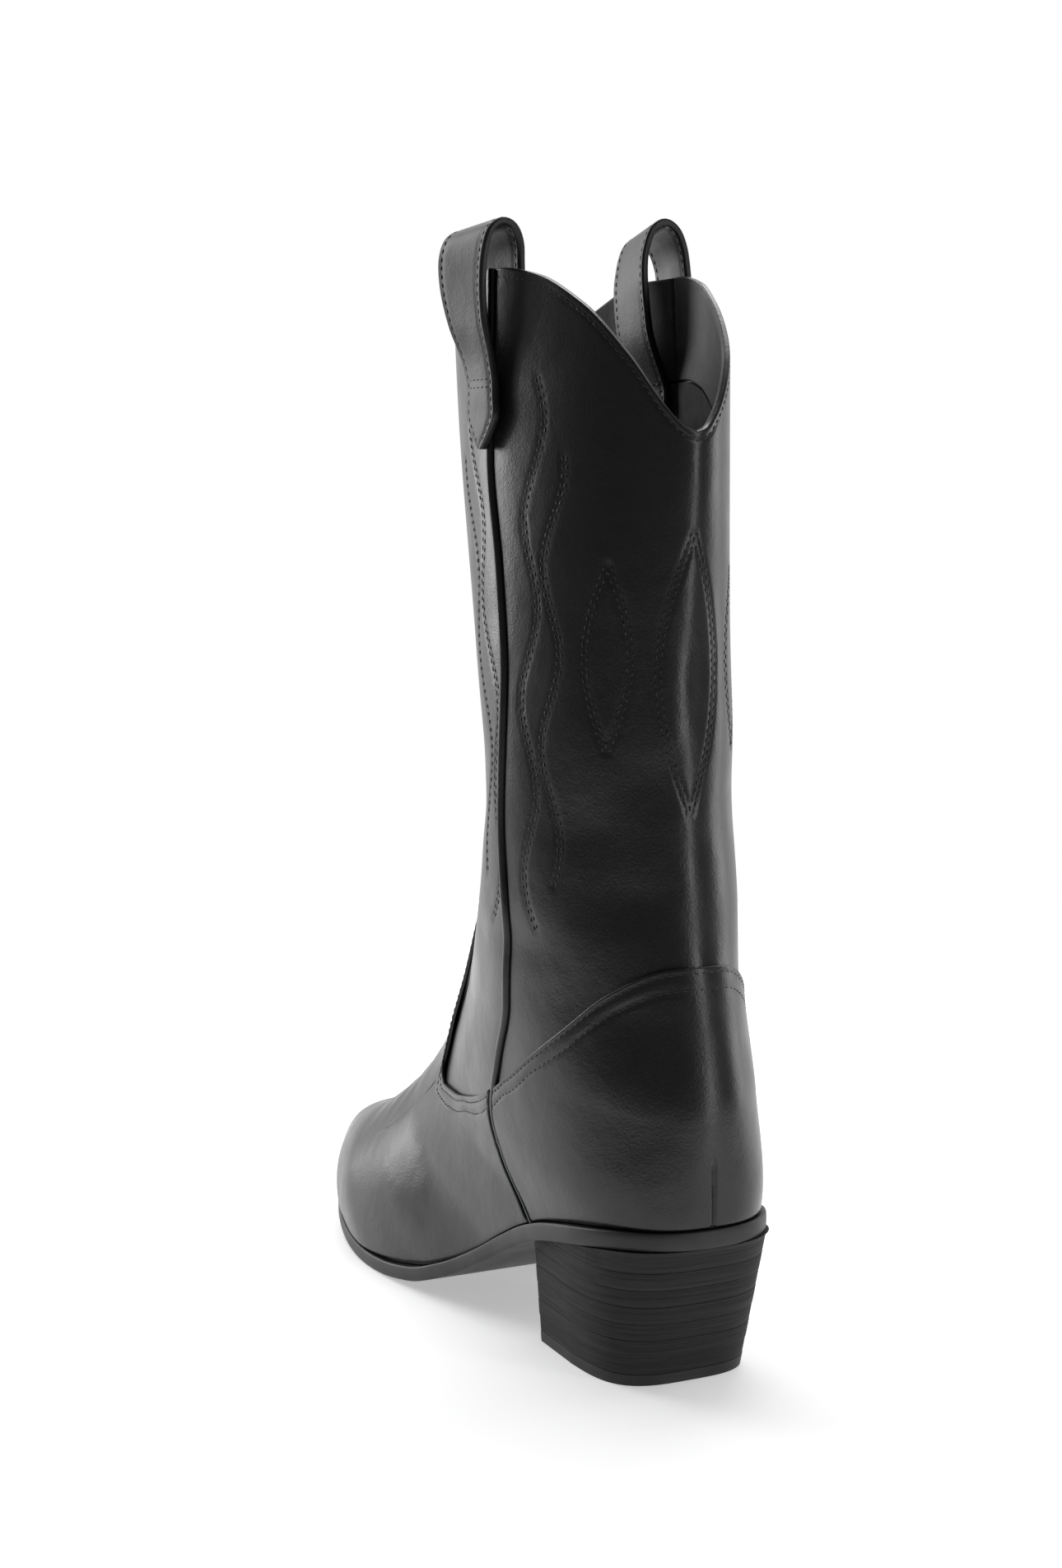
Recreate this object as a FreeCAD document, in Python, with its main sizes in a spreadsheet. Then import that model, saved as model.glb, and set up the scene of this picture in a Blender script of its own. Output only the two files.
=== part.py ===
import FreeCAD, Part
import math
import os

from FreeCAD import Placement, Rotation, Vector

# A left cowboy boot on a stacked block heel, in millimetres.
# Frame: +Z up, toe towards -Y, the wearer's left (the outer side of this boot) towards +X.
# The origin is on the ground under the middle of the outsole.
# A "setback" is the distance forward from the outsole's rearmost edge, so a point at setback b
# lies at y = outsole_length / 2 - b. An "angle" runs round a section of the boot: 0 at the middle
# of the front (or the top of the foot), 90 at the widest place, 180 at the middle of the back
# (or of the sole), positive on the outer side.

SIZES = {
    # outsole and heel
    "outsole_length": 285.0,
    "sole_cutter_width": 140.0,
    "heel_block_height": 52.0,
    "heel_lift_thickness": 6.0,
    "heel_top_lift_thickness": 4.0,
    "heel_top_setback": 0.8,
    "heel_top_length": 66.0,
    "heel_top_half_width": 33.6,
    "heel_top_roundness": 2.7,
    "heel_bottom_setback": 14.0,
    "heel_bottom_length": 57.0,
    "heel_bottom_half_width": 27.3,
    "heel_bottom_roundness": 3.4,
    "heel_seat_gap": 0.05,
    "heel_nail_diameter": 2.6,
    "heel_nail_length": 34.0,
    "heel_nail_head_depth": 0.4,
    "heel_nail_ring_radius": 16.0,
    "heel_nail_ring_setback": 37.0,
    # shoe bottom, inside the upper
    "bottom_filler_thickness": 1.8,
    "insole_board_thickness": 2.2,
    "sock_liner_thickness": 1.4,
    "shank_width": 12.0,
    "shank_back_setback": 50.0,
    "shank_front_setback": 150.0,
    "shank_slot_width": 12.4,
    "bottom_layer_gap": 0.1,
    "insole_inset": 0.5,
    # leather layers: the faces of each layer, measured outwards from the shaft panels' outer face
    "overlay_outer_face": 1.75,
    "overlay_inner_face": 0.55,
    "backer_outer_face": -0.75,
    "panel_inner_face": -1.6,
    "lining_outer_face": -1.75,
    "lining_inner_face": -2.75,
    "piping_outer_face": 1.7,
    "piping_half_width": 1.7,
    "piping_crown": 1.2,
    "seam_gap": 0.4,
    "overlay_lap": 9.0,
    "facing_depth": 35.0,
    "toe_puff_length": 52.0,
    # pull straps
    "strap_width": 25.0,
    "strap_thickness": 2.6,
    "outer_strap_setback": 86.0,
    "inner_strap_setback": 98.0,
    "strap_tab_bottom": 302.0,
    "strap_tab_top": 325.0,
}

# One closed section of the boot's outer surface to a row. Each lies in a plane that holds the X
# direction and runs from the section's back point to its front point. The half widths are on the
# outer (+X) and inner (-X) sides, "widest" is the share of the way from back to front at which the
# section is widest, and the roundness values are superellipse exponents.
SECTION_FIELDS = (
    "back_setback", "back_height", "front_setback", "front_height", "outer_half", "inner_half",
    "widest", "back_roundness", "front_roundness",
)
SECTIONS = (
    # shaft, from above the top line down to the ankle
    (10.5, 372.0, 167.0, 372.0, 36.0, 35.0, 0.50, 1.80, 1.80),
    (13.5, 306.0, 155.0, 306.0, 37.8, 37.2, 0.50, 1.80, 1.80),
    (16.5, 235.0, 138.0, 235.0, 38.3, 38.3, 0.50, 1.85, 1.80),
    (16.3, 182.0, 128.5, 182.0, 39.0, 39.0, 0.50, 1.85, 1.80),
    # ankle and heel cup, turning from level to upright
    (13.5, 152.0, 131.5, 165.0, 39.0, 39.0, 0.50, 1.90, 1.80),
    (8.5, 122.0, 138.0, 144.5, 38.5, 37.5, 0.50, 1.90, 1.85),
    (2.5, 88.0, 149.0, 120.0, 37.5, 37.2, 0.48, 2.15, 1.90),
    (2.0, 56.0, 163.0, 102.0, 36.6, 36.6, 0.46, 2.60, 1.90),
    (10.0, 28.0, 178.0, 86.0, 32.4, 31.4, 0.52, 2.60, 1.90),
    # foot, from the instep to the tip of the toe
    (60.0, 12.0, 194.0, 72.0, 32.8, 29.8, 0.52, 2.40, 1.90),
    (120.0, -4.0, 208.0, 61.0, 39.4, 36.2, 0.42, 2.50, 1.95),
    (165.0, -9.0, 224.0, 51.5, 42.5, 42.0, 0.33, 2.90, 2.00),
    (205.0, -6.0, 240.0, 45.5, 36.4, 37.6, 0.32, 3.00, 2.00),
    (240.0, -1.0, 256.0, 40.5, 24.6, 26.0, 0.33, 2.80, 2.00),
    (264.0, 5.0, 271.0, 34.5, 13.6, 15.4, 0.36, 2.60, 2.00),
    (276.0, 12.0, 279.0, 29.0, 6.4, 7.4, 0.42, 2.20, 2.00),
    (282.2, 19.5, 283.0, 23.5, 1.0, 1.0, 0.50, 2.00, 2.00),
)

# Side-view lines: (setback, height) points on a smooth curve.
OUTSOLE_TOP = (
    (-6, 54.0), (12, 53.5), (30, 51.5), (55, 46.5), (72, 41.0), (88, 33.5), (105, 24.0),
    (125, 14.5), (145, 8.0), (165, 5.6), (180, 5.2), (200, 5.8), (225, 9.2), (250, 13.6), (292, 21.5),
)
OUTSOLE_BOTTOM = (
    (-6, 47.8), (12, 47.3), (30, 45.3), (55, 40.3), (72, 34.8), (88, 27.5), (105, 18.5),
    (125, 9.0), (145, 2.6), (165, 0.3), (180, 0.0), (200, 0.6), (225, 4.0), (250, 8.4), (292, 16.5),
)
HEEL_COUNTER_EDGE = ((-8, 137), (11, 137), (24, 129), (40, 114.5), (58, 101.5), (75, 91), (100, 77))

# The side seam in side view, as (height, setback) points.
SIDE_SEAM = (
    (10, 45), (30, 55), (47, 68), (62, 80), (80, 85), (97, 80), (118, 72), (145, 71),
    (182, 74), (225, 73), (262, 77), (300, 84), (340, 85), (376, 86),
)

# Lines round the boot, as (angle, height) points.
VAMP_EDGE = (
    (0, 168), (12, 165), (20, 155), (26, 139), (31, 118), (36, 97), (43, 81), (53, 74), (62, 74.5), (70, 78),
    (78, 83), (86, 89), (97, 96), (110, 104),
)
OUTER_TOP_LINE = (
    (0, 318.0), (12, 322.0), (27, 337.0), (42, 351.0), (60, 359.5), (78, 361.0), (96, 361.0),
    (112, 358.0), (130, 347.5), (147, 331.0), (163, 314.0), (173, 307.8), (180, 306.5),
)
INNER_TOP_LINE = (
    (0, 318.0), (12, 321.0), (27, 333.0), (42, 345.0), (54, 352.5), (66, 358.5), (78, 361.0), (96, 361.0),
    (108, 358.0), (118, 351.0), (130, 341.0), (147, 327.0), (163, 313.5), (173, 307.8), (180, 306.5),
)

# Plan outline of the outsole's edge, heel to toe: (setback, distance from the middle line).
OUTSOLE_OUTER_SIDE = (
    (2, 13.5), (8, 23.5), (18, 30.5), (32, 34.2), (50, 34.4), (70, 33.4), (90, 33.4), (115, 37.0),
    (140, 41.8), (165, 44.5), (185, 44.0), (205, 40.8), (225, 35.4), (245, 27.0), (262, 18.4), (276, 10.4),
)
OUTSOLE_INNER_SIDE = (
    (2, 13.5), (8, 23.5), (18, 30.5), (32, 34.0), (50, 34.0), (70, 32.4), (90, 31.0), (115, 32.6),
    (140, 37.4), (165, 42.6), (185, 44.5), (205, 42.6), (225, 37.4), (245, 29.2), (262, 20.2), (276, 11.6),
)

# Middle line of a pull strap's loop, seen along Y: (distance from the middle plane, height).
STRAP_LINES = {
    "outer": {
        "outer_leg": ((41.2, 321.0), (42.4, 331.0), (44.8, 344.0), (45.6, 359.2)),
        "arch": ((45.5, 364.0), (44.2, 370.4), (38.4, 374.8), (32.0, 370.6), (30.0, 364.0)),
        "inner_leg": ((29.8, 359.2), (29.0, 344.0), (29.6, 331.0), (31.2, 321.0)),
    },
    "inner": {
        "outer_leg": ((40.6, 321.0), (40.9, 331.0), (40.8, 344.0), (40.3, 359.2)),
        "arch": ((40.1, 364.0), (38.6, 372.0), (31.8, 377.6), (25.0, 372.0), (23.8, 364.0)),
        "inner_leg": ((24.0, 359.2), (25.2, 344.0), (27.4, 331.0), (29.6, 321.0)),
    },
}

doc = FreeCAD.newDocument("cowboy_boot")


def make_sheet(name, cells):
    """A spreadsheet with one named value to a row."""
    sheet = doc.addObject("Spreadsheet::Sheet", name)
    for row, (alias, value) in enumerate(cells, start=1):
        sheet.set("A%d" % row, alias)
        sheet.set("B%d" % row, str(value))
        sheet.setAlias("B%d" % row, alias)
    return sheet


sizes = make_sheet("Sizes", SIZES.items())
section_cells = [
    ("%s_%d" % (field, number), value)
    for number, values in enumerate(SECTIONS, start=1)
    for field, value in zip(SECTION_FIELDS, values)
]
section_sheet = make_sheet("Sections", section_cells)
doc.recompute()


def size(name):
    return float(getattr(sizes, name))


def y_at(setback):
    return size("outsole_length") / 2 - setback


# ---------------------------------------------------------------- smooth lines


class SmoothLine:
    """A value that follows rows of (position, value) points without overshooting them."""

    def __init__(self, rows):
        self.at = [float(row[0]) for row in rows]
        self.value = [float(row[1]) for row in rows]
        steps = [b - a for a, b in zip(self.at, self.at[1:])]
        rises = [(b - a) / step for a, b, step in zip(self.value, self.value[1:], steps)]
        self.slope = [rises[0]]
        for before, after in zip(rises, rises[1:]):
            level = before * after <= 0
            self.slope.append(0.0 if level else 2 * before * after / (before + after))
        self.slope.append(rises[-1])

    def __call__(self, position):
        if position <= self.at[0]:
            return self.value[0] + (position - self.at[0]) * self.slope[0]
        if position >= self.at[-1]:
            return self.value[-1] + (position - self.at[-1]) * self.slope[-1]
        index = max(i for i, at in enumerate(self.at[:-1]) if at <= position)
        step = self.at[index + 1] - self.at[index]
        share = (position - self.at[index]) / step
        rise = self.value[index + 1] - self.value[index]
        start_bend = step * self.slope[index] - rise
        end_bend = rise - step * self.slope[index + 1]
        bend = start_bend * (1 - share) + end_bend * share
        return self.value[index] + rise * share + share * (1 - share) * bend


def crossing(gap, low, high, steps=26):
    """Where gap, positive at low, turns negative before high; high itself if it never does."""
    if gap(high) > 0:
        return high
    for _ in range(steps):
        middle = (low + high) / 2
        if gap(middle) > 0:
            low = middle
        else:
            high = middle
    return (low + high) / 2


outsole_top = SmoothLine(OUTSOLE_TOP)
outsole_bottom = SmoothLine(OUTSOLE_BOTTOM)
heel_counter_edge = SmoothLine(HEEL_COUNTER_EDGE)
side_seam = SmoothLine(SIDE_SEAM)
vamp_edge = SmoothLine(VAMP_EDGE)
outer_top_line = SmoothLine(OUTER_TOP_LINE)
inner_top_line = SmoothLine(INNER_TOP_LINE)


# ---------------------------------------------------------------- the boot's surface


def section_positions():
    """Each section's place along the boot, from 0 at the top to 1 at the tip of the toe."""
    places = [0.0]
    for last, this in zip(SECTIONS, SECTIONS[1:]):
        back_step = math.hypot(this[0] - last[0], this[1] - last[1])
        front_step = math.hypot(this[2] - last[2], this[3] - last[3])
        places.append(places[-1] + (back_step + front_step) / 2)
    return [place / places[-1] for place in places]


def section_lines():
    """A smooth line along the boot for each field of the sections, read from their sheet."""
    lines = {}
    for field in SECTION_FIELDS:
        values = [float(getattr(section_sheet, "%s_%d" % (field, n + 1))) for n in range(len(SECTIONS))]
        lines[field] = SmoothLine(list(zip(section_positions(), values)))
    return lines


SECTION_LINES = section_lines()


# where the search for a piece's lower edge ends: just under the heel seat, and at the toe
HEEL_PLACE = 0.655
TOE_PLACE = 0.999


def signed_power(value, power):
    return math.copysign(abs(value) ** power, value)


def base_point(place, angle):
    """A point of the shaft panels' outer face, and of that surface carried on round the foot."""
    field = {name: line(place) for name, line in SECTION_LINES.items()}
    back = Vector(0, y_at(field["back_setback"]), field["back_height"])
    front = Vector(0, y_at(field["front_setback"]), field["front_height"])
    middle = back + (front - back) * field["widest"]
    turn = math.radians(angle)
    is_front = math.cos(turn) >= 0
    power = 2 / field["front_roundness" if is_front else "back_roundness"]
    end = front if is_front else back
    half_width = field["outer_half" if math.sin(turn) >= 0 else "inner_half"]
    along = (end - middle) * abs(math.cos(turn)) ** power
    return middle + along + Vector(half_width * signed_power(math.sin(turn), power), 0, 0)


def boot_point(place, angle, face):
    """A point at a distance outwards from the base surface."""
    place_step = 0.002
    angle_step = 1.0
    place = min(place, 1 - place_step)
    down = base_point(place + place_step, angle) - base_point(place - place_step, angle)
    around = base_point(place, angle + angle_step) - base_point(place, angle - angle_step)
    outwards = down.cross(around).normalize()
    return base_point(place, angle) + outwards * face


def setback_of(point):
    return size("outsole_length") / 2 - point.y


def height_over_sole(place, angle):
    point = base_point(place, angle)
    return point.z - outsole_top(setback_of(point))


def seam_angle(place, side, shift=0.0):
    """The angle of the side seam in a section, moved forward by shift; 180 where it has none."""
    def ahead_of_seam(angle):
        point = base_point(place, side * angle)
        return setback_of(point) - side_seam(point.z) - shift
    return side * crossing(ahead_of_seam, 20.0, 180.0)


def sole_angle(place, side):
    """The angle at which a section meets the outsole; 180 above the heel seat."""
    return side * crossing(lambda angle: height_over_sole(place, side * angle), 40.0, 180.0)


# ---------------------------------------------------------------- leather pieces as curved panels


def knots_for(count, degree):
    spans = count - degree
    knots = [float(n) for n in range(spans + 1)]
    multiplicities = [degree + 1] + [1] * (spans - 1) + [degree + 1]
    return knots, multiplicities


def net_face(net):
    """A smooth face drawn by a net of poles, which it touches along its border."""
    row_degree = min(3, len(net) - 1)
    column_degree = min(3, len(net[0]) - 1)
    row_knots, row_repeats = knots_for(len(net), row_degree)
    column_knots, column_repeats = knots_for(len(net[0]), column_degree)
    surface = Part.BSplineSurface()
    surface.buildFromPolesMultsKnots(
        net, row_repeats, column_repeats, row_knots, column_knots, False, False, row_degree, column_degree)
    return surface.toShape()


def net_solid(outer, inner):
    """A closed solid between two nets of the same size."""
    outer_columns = list(zip(*outer))
    inner_columns = list(zip(*inner))
    nets = [
        outer,
        inner,
        [outer[0], inner[0]],
        [outer[-1], inner[-1]],
        [list(outer_columns[0]), list(inner_columns[0])],
        [list(outer_columns[-1]), list(inner_columns[-1])],
    ]
    shell = Part.makeShell([net_face(net) for net in nets])
    shell.sewShape()
    solid = Part.makeSolid(shell)
    if solid.Volume < 0:
        solid.reverse()
    return solid


PANEL_ROWS = 42
PIPING_ROWS = 64
# columns of a panel, as shares of the way from its first side to its last
EVEN_SHARES = [n / 18 for n in range(19)]
PIPING_SHARES = [n / 6 for n in range(7)]
# closer together beside the vamp's tongue, whose edge is steep
HALF_FRONT_SHARES = [
    0.0, 0.049, 0.098, 0.146, 0.189, 0.226, 0.256, 0.28, 0.302, 0.32, 0.338, 0.36, 0.384, 0.415, 0.457]
FRONT_SHARES = HALF_FRONT_SHARES + [0.5] + [1 - share for share in reversed(HALF_FRONT_SHARES)]


def add_panel(name, sides, above_top, above_bottom, faces, last_place,
              rows=PANEL_ROWS, shares=EVEN_SHARES, crown=0.0):
    """A panel of one leather layer.

    sides gives the two limiting angles at a place. above_top and above_bottom are positive above
    the panel's edges, at a place and angle. faces are the outer and inner distance from the base
    surface, last_place ends the search for the edges, and crown lowers the outer face towards both
    sides, as on a round piping.
    """
    outer_rows = [[] for _ in range(rows)]
    inner_rows = [[] for _ in range(rows)]
    for share in shares:
        def angle_at(place):
            first, last = sides(place)
            return first + (last - first) * share

        start = crossing(lambda place: above_top(place, angle_at(place)), 0.0, last_place)
        end = crossing(lambda place: above_bottom(place, angle_at(place)), start, last_place)
        outer_face = faces[0] - crown * (2 * share - 1) ** 2
        for row in range(rows):
            place = start + (end - start) * row / (rows - 1)
            angle = angle_at(place)
            outer_rows[row].append(boot_point(place, angle, outer_face))
            inner_rows[row].append(boot_point(place, angle, faces[1]))
    panel = doc.addObject("Part::Feature", name)
    panel.Shape = net_solid(outer_rows, inner_rows)
    return panel


def front_sides(shift, clear_of_sole):
    """The side limits of a front piece: the side seams, then the outsole."""
    def sides(place):
        limits = []
        for side in (1, -1):
            def over_sole(angle):
                return height_over_sole(place, side * angle) - clear_of_sole
            limits.append(min(abs(seam_angle(place, side, shift)), crossing(over_sole, 40.0, 180.0)))
        return limits[0], -limits[1]
    return sides


def back_sides(shift):
    """The side limits of a back piece: the side seams, the long way round."""
    def sides(place):
        return seam_angle(place, 1, -shift), 360 + seam_angle(place, -1, -shift)
    return sides


def seam_sides(side, half_width):
    """The limits of a strip centred on a side seam."""
    def sides(place):
        return seam_angle(place, side, half_width), seam_angle(place, side, -half_width)
    return sides


def from_front(angle):
    """The angle from the middle of the front, on either side."""
    return abs((angle + 180) % 360 - 180)


def over_top_line(drop=0.0):
    def over(place, angle):
        line = outer_top_line if math.sin(math.radians(angle)) >= 0 else inner_top_line
        return base_point(place, angle).z - line(from_front(angle)) + drop
    return over


def over_vamp_edge(drop=0.0):
    return lambda place, angle: base_point(place, angle).z - vamp_edge(from_front(angle)) + drop


def over_counter_edge(drop=0.0):
    def over(place, angle):
        point = base_point(place, angle)
        return point.z - heel_counter_edge(setback_of(point)) + drop
    return over


def over_sole(drop=0.0):
    return lambda place, angle: height_over_sole(place, angle) + drop


def behind_toe_puff(gap=0.0):
    start = size("outsole_length") - size("toe_puff_length")
    return lambda place, angle: start + gap - setback_of(base_point(place, angle))


def never_reached(place, angle):
    return 1.0


def add_front_panel(name, *limits):
    """A panel of the front or the foot, fine enough for the vamp's tongue."""
    return add_panel(name, *limits, shares=FRONT_SHARES)


def make_upper():
    """The shaft, vamp and heel counter, their stiffeners and their linings."""
    gap = size("seam_gap")
    lap = size("overlay_lap")
    facing = size("facing_depth")
    beside_piping = size("piping_half_width") + gap
    overlay = (size("overlay_outer_face"), size("overlay_inner_face"))
    leather = (0.0, size("panel_inner_face"))
    backer = (size("backer_outer_face"), size("panel_inner_face"))
    lining = (size("lining_outer_face"), size("lining_inner_face"))
    sole = over_sole(-gap)

    front = front_sides(beside_piping, gap)
    back = back_sides(beside_piping)
    parts = [
        add_front_panel("vamp", front, over_vamp_edge(), never_reached, overlay, TOE_PLACE),
        add_panel("heel_counter", back, over_counter_edge(), sole, overlay, HEEL_PLACE),
        add_front_panel("shaft_front", front, over_top_line(), over_vamp_edge(lap), leather, HEEL_PLACE),
        add_panel("shaft_back", back, over_top_line(), over_counter_edge(lap), leather, HEEL_PLACE),
        add_front_panel("vamp_backer", front, over_vamp_edge(lap + gap), behind_toe_puff(), backer, TOE_PLACE),
        add_front_panel("toe_puff", front, behind_toe_puff(gap), never_reached, leather, TOE_PLACE),
        add_panel("counter_stiffener", back, over_counter_edge(lap + gap), sole, leather, HEEL_PLACE),
    ]
    front = front_sides(gap, gap)
    back = back_sides(gap)
    under_facing = over_top_line(facing + gap)
    front_lap = over_vamp_edge(lap)
    back_lap = over_counter_edge(lap)
    parts += [
        add_front_panel("top_facing_front", front, over_top_line(), over_top_line(facing), lining, HEEL_PLACE),
        add_panel("top_facing_back", back, over_top_line(), over_top_line(facing), lining, HEEL_PLACE),
        add_front_panel("shaft_lining_front", front, under_facing, front_lap, lining, HEEL_PLACE),
        add_panel("shaft_lining_back", back, under_facing, back_lap, lining, HEEL_PLACE),
        add_front_panel("vamp_lining", front, over_vamp_edge(lap + gap), never_reached, lining, TOE_PLACE),
        add_panel("heel_lining", back, over_counter_edge(lap + gap), sole, lining, HEEL_PLACE),
    ]
    piping = (size("piping_outer_face"), size("panel_inner_face"))
    for side, side_name in ((1, "outer"), (-1, "inner")):
        sides = seam_sides(side, size("piping_half_width"))
        parts.append(add_panel(
            "side_piping_" + side_name, sides, over_top_line(), sole, piping, HEEL_PLACE,
            rows=PIPING_ROWS, shares=PIPING_SHARES, crown=size("piping_crown")))
    return parts


# ---------------------------------------------------------------- sketched blocks


MIDDLE_PLANES = {"plan": "XY_Plane", "side": "YZ_Plane", "behind": "XZ_Plane"}
LINE_STEP = 15.0
CUTTER_MARGIN = 5.0


def sketch_on(body, view, name, edges, height=0.0):
    """A sketch of the given curves on one of the body's own origin planes."""
    role = MIDDLE_PLANES[view]
    plane = next(item for item in body.Origin.OriginFeatures if item.Role == role)
    sketch = body.newObject("Sketcher::SketchObject", name)
    sketch.AttachmentSupport = [(plane, "")]
    sketch.MapMode = "FlatFace"
    sketch.AttachmentOffset = Placement(Vector(0, 0, height), Rotation())
    for edge in edges:
        sketch.addGeometry(edge, False)
    return sketch


def smooth_curve(points, closed=False):
    curve = Part.BSplineCurve()
    curve.interpolate(Points=points, PeriodicFlag=closed)
    return curve


def padded_body(name, view, edges, length, both_ways):
    """A body padded from one sketch; length names the cell that it is bound to."""
    body = doc.addObject("PartDesign::Body", name)
    sketch = sketch_on(body, view, name + "_outline", edges)
    pad = body.newObject("PartDesign::Pad", name + "_pad")
    pad.Profile = sketch
    pad.Midplane = both_ways
    pad.setExpression("Length", "Sizes." + length)
    body.Tip = pad
    sketch.Visibility = False
    return body


def between_lines(name, upper, upper_rise, lower, lower_rise, start, end, width="sole_cutter_width"):
    """A block across the boot between two side-view lines, each raised by an amount."""
    steps = max(2, round((end - start) / LINE_STEP))
    setbacks = [start + (end - start) * step / steps for step in range(steps + 1)]
    upper_points = [Vector(y_at(setback), upper(setback) + upper_rise, 0) for setback in setbacks]
    lower_points = [Vector(y_at(setback), lower(setback) + lower_rise, 0) for setback in setbacks]
    edges = [
        smooth_curve(upper_points),
        Part.LineSegment(upper_points[-1], lower_points[-1]),
        smooth_curve(lower_points[::-1]),
        Part.LineSegment(lower_points[0], upper_points[0]),
    ]
    return padded_body(name, "side", edges, width, True)


def below_ground(setback):
    return -10.0


def boolean(kind, name, base, tool):
    """A Part::Cut, Part::Common or Part::Fuse of two objects."""
    result = doc.addObject("Part::" + kind, name)
    result.Base = base
    result.Tool = tool
    return result


# ---------------------------------------------------------------- sole and heel


def outsole_outline():
    """The outsole's edge in plan, as one closed curve."""
    length = size("outsole_length")
    points = [Vector(0, y_at(0), 0)]
    points += [Vector(across, y_at(setback), 0) for setback, across in OUTSOLE_OUTER_SIDE]
    points.append(Vector(0, y_at(length), 0))
    points += [Vector(-across, y_at(setback), 0) for setback, across in OUTSOLE_INNER_SIDE[::-1]]
    return smooth_curve(points, closed=True)


def make_outsole(nails):
    length = size("outsole_length")
    plan = padded_body("outsole_plan", "plan", [outsole_outline()], "sole_cutter_width", False)
    band = between_lines(
        "outsole_band", outsole_top, 0.0, outsole_bottom, 0.0, -CUTTER_MARGIN, length + CUTTER_MARGIN)
    blank = boolean("Common", "outsole_blank", plan, band)
    return boolean("Cut", "outsole", blank, nails)


# the heel's widest place, as a share of its length, and its breast, as a share of its width
HEEL_WIDEST = 0.55
HEEL_BREAST = 0.94


def heel_outline(end):
    """The heel block's plan at its "top" or "bottom": a round back and a straight breast."""
    setback = size("heel_%s_setback" % end)
    length = size("heel_%s_length" % end)
    half_width = size("heel_%s_half_width" % end)
    roundness = size("heel_%s_roundness" % end)
    points = []
    steps = 16
    middle = setback + length * HEEL_WIDEST
    front = setback + length
    for step in range(steps + 1):
        turn = math.pi * step / steps
        x = half_width * signed_power(math.cos(turn), 2 / roundness)
        back = middle - setback
        points.append(Vector(x, y_at(middle - back * math.sin(turn) ** (2 / roundness)), 0))
    right = Vector(half_width * HEEL_BREAST, y_at(front), 0)
    left = Vector(-half_width * HEEL_BREAST, y_at(front), 0)
    return [
        smooth_curve(points),
        Part.LineSegment(points[-1], left),
        Part.LineSegment(left, right),
        Part.LineSegment(right, points[0]),
    ]


def make_heel_block():
    """The whole heel before it is cut into lifts: tapered, and fitted under the outsole."""
    body = doc.addObject("PartDesign::Body", "heel_block")
    bottom = sketch_on(body, "plan", "heel_bottom_outline", heel_outline("bottom"))
    top = sketch_on(body, "plan", "heel_top_outline", heel_outline("top"))
    top.setExpression("AttachmentOffset.Base.z", "Sizes.heel_block_height")
    loft = body.newObject("PartDesign::AdditiveLoft", "heel_taper")
    loft.Profile = bottom
    loft.Sections = [top]
    loft.Ruled = True
    body.Tip = loft
    under_sole = between_lines(
        "under_heel_seat", outsole_bottom, -size("heel_seat_gap"), below_ground, 0.0, -CUTTER_MARGIN, 80.0)
    return boolean("Common", "heel_shape", body, under_sole)


def make_heel(nails):
    """The rubber top lift and the leather lifts stacked on it."""
    shape = make_heel_block()
    top_lift = size("heel_top_lift_thickness")
    lift = size("heel_lift_thickness")
    reach = size("sole_cutter_width")
    count = math.ceil((outsole_bottom(0.0) - top_lift) / lift)
    parts = []
    for number in range(count):
        is_top_lift = number == 0
        name = "heel_top_lift" if is_top_lift else "heel_lift_%d" % number
        slab = doc.addObject("Part::Box", name + "_slab")
        slab.setExpression("Length", "Sizes.sole_cutter_width")
        slab.setExpression("Width", "Sizes.sole_cutter_width")
        start = 0.0 if is_top_lift else top_lift + (number - 1) * lift
        if is_top_lift:
            slab.setExpression("Height", "Sizes.heel_top_lift_thickness")
        elif number < count - 1:
            slab.setExpression("Height", "Sizes.heel_lift_thickness")
        else:
            slab.setExpression("Height", "Sizes.heel_lift_thickness * 2")
        slab.Placement = Placement(Vector(-reach / 2, y_at(reach) + reach / 4, start), Rotation())
        blank = boolean("Common", name + "_blank", shape, slab)
        parts.append(boolean("Cut", name, blank, nails))
    return parts


def make_heel_nails():
    """Five nails driven down through the heel seat, their heads level with the outsole's top."""
    nails = []
    for number in range(5):
        turn = 2 * math.pi * number / 5
        setback = size("heel_nail_ring_setback") - size("heel_nail_ring_radius") * math.cos(turn)
        x = size("heel_nail_ring_radius") * math.sin(turn)
        nail = doc.addObject("Part::Cylinder", "heel_nail_%d" % (number + 1))
        nail.setExpression("Radius", "Sizes.heel_nail_diameter / 2")
        nail.setExpression("Height", "Sizes.heel_nail_length")
        bottom = outsole_top(setback) - size("heel_nail_length") - size("heel_nail_head_depth")
        nail.Placement = Placement(Vector(x, y_at(setback), bottom), Rotation())
        nails.append(nail)
    group = doc.addObject("Part::MultiFuse", "heel_nails")
    group.Shapes = nails
    return group


# ---------------------------------------------------------------- inside the shoe


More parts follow.
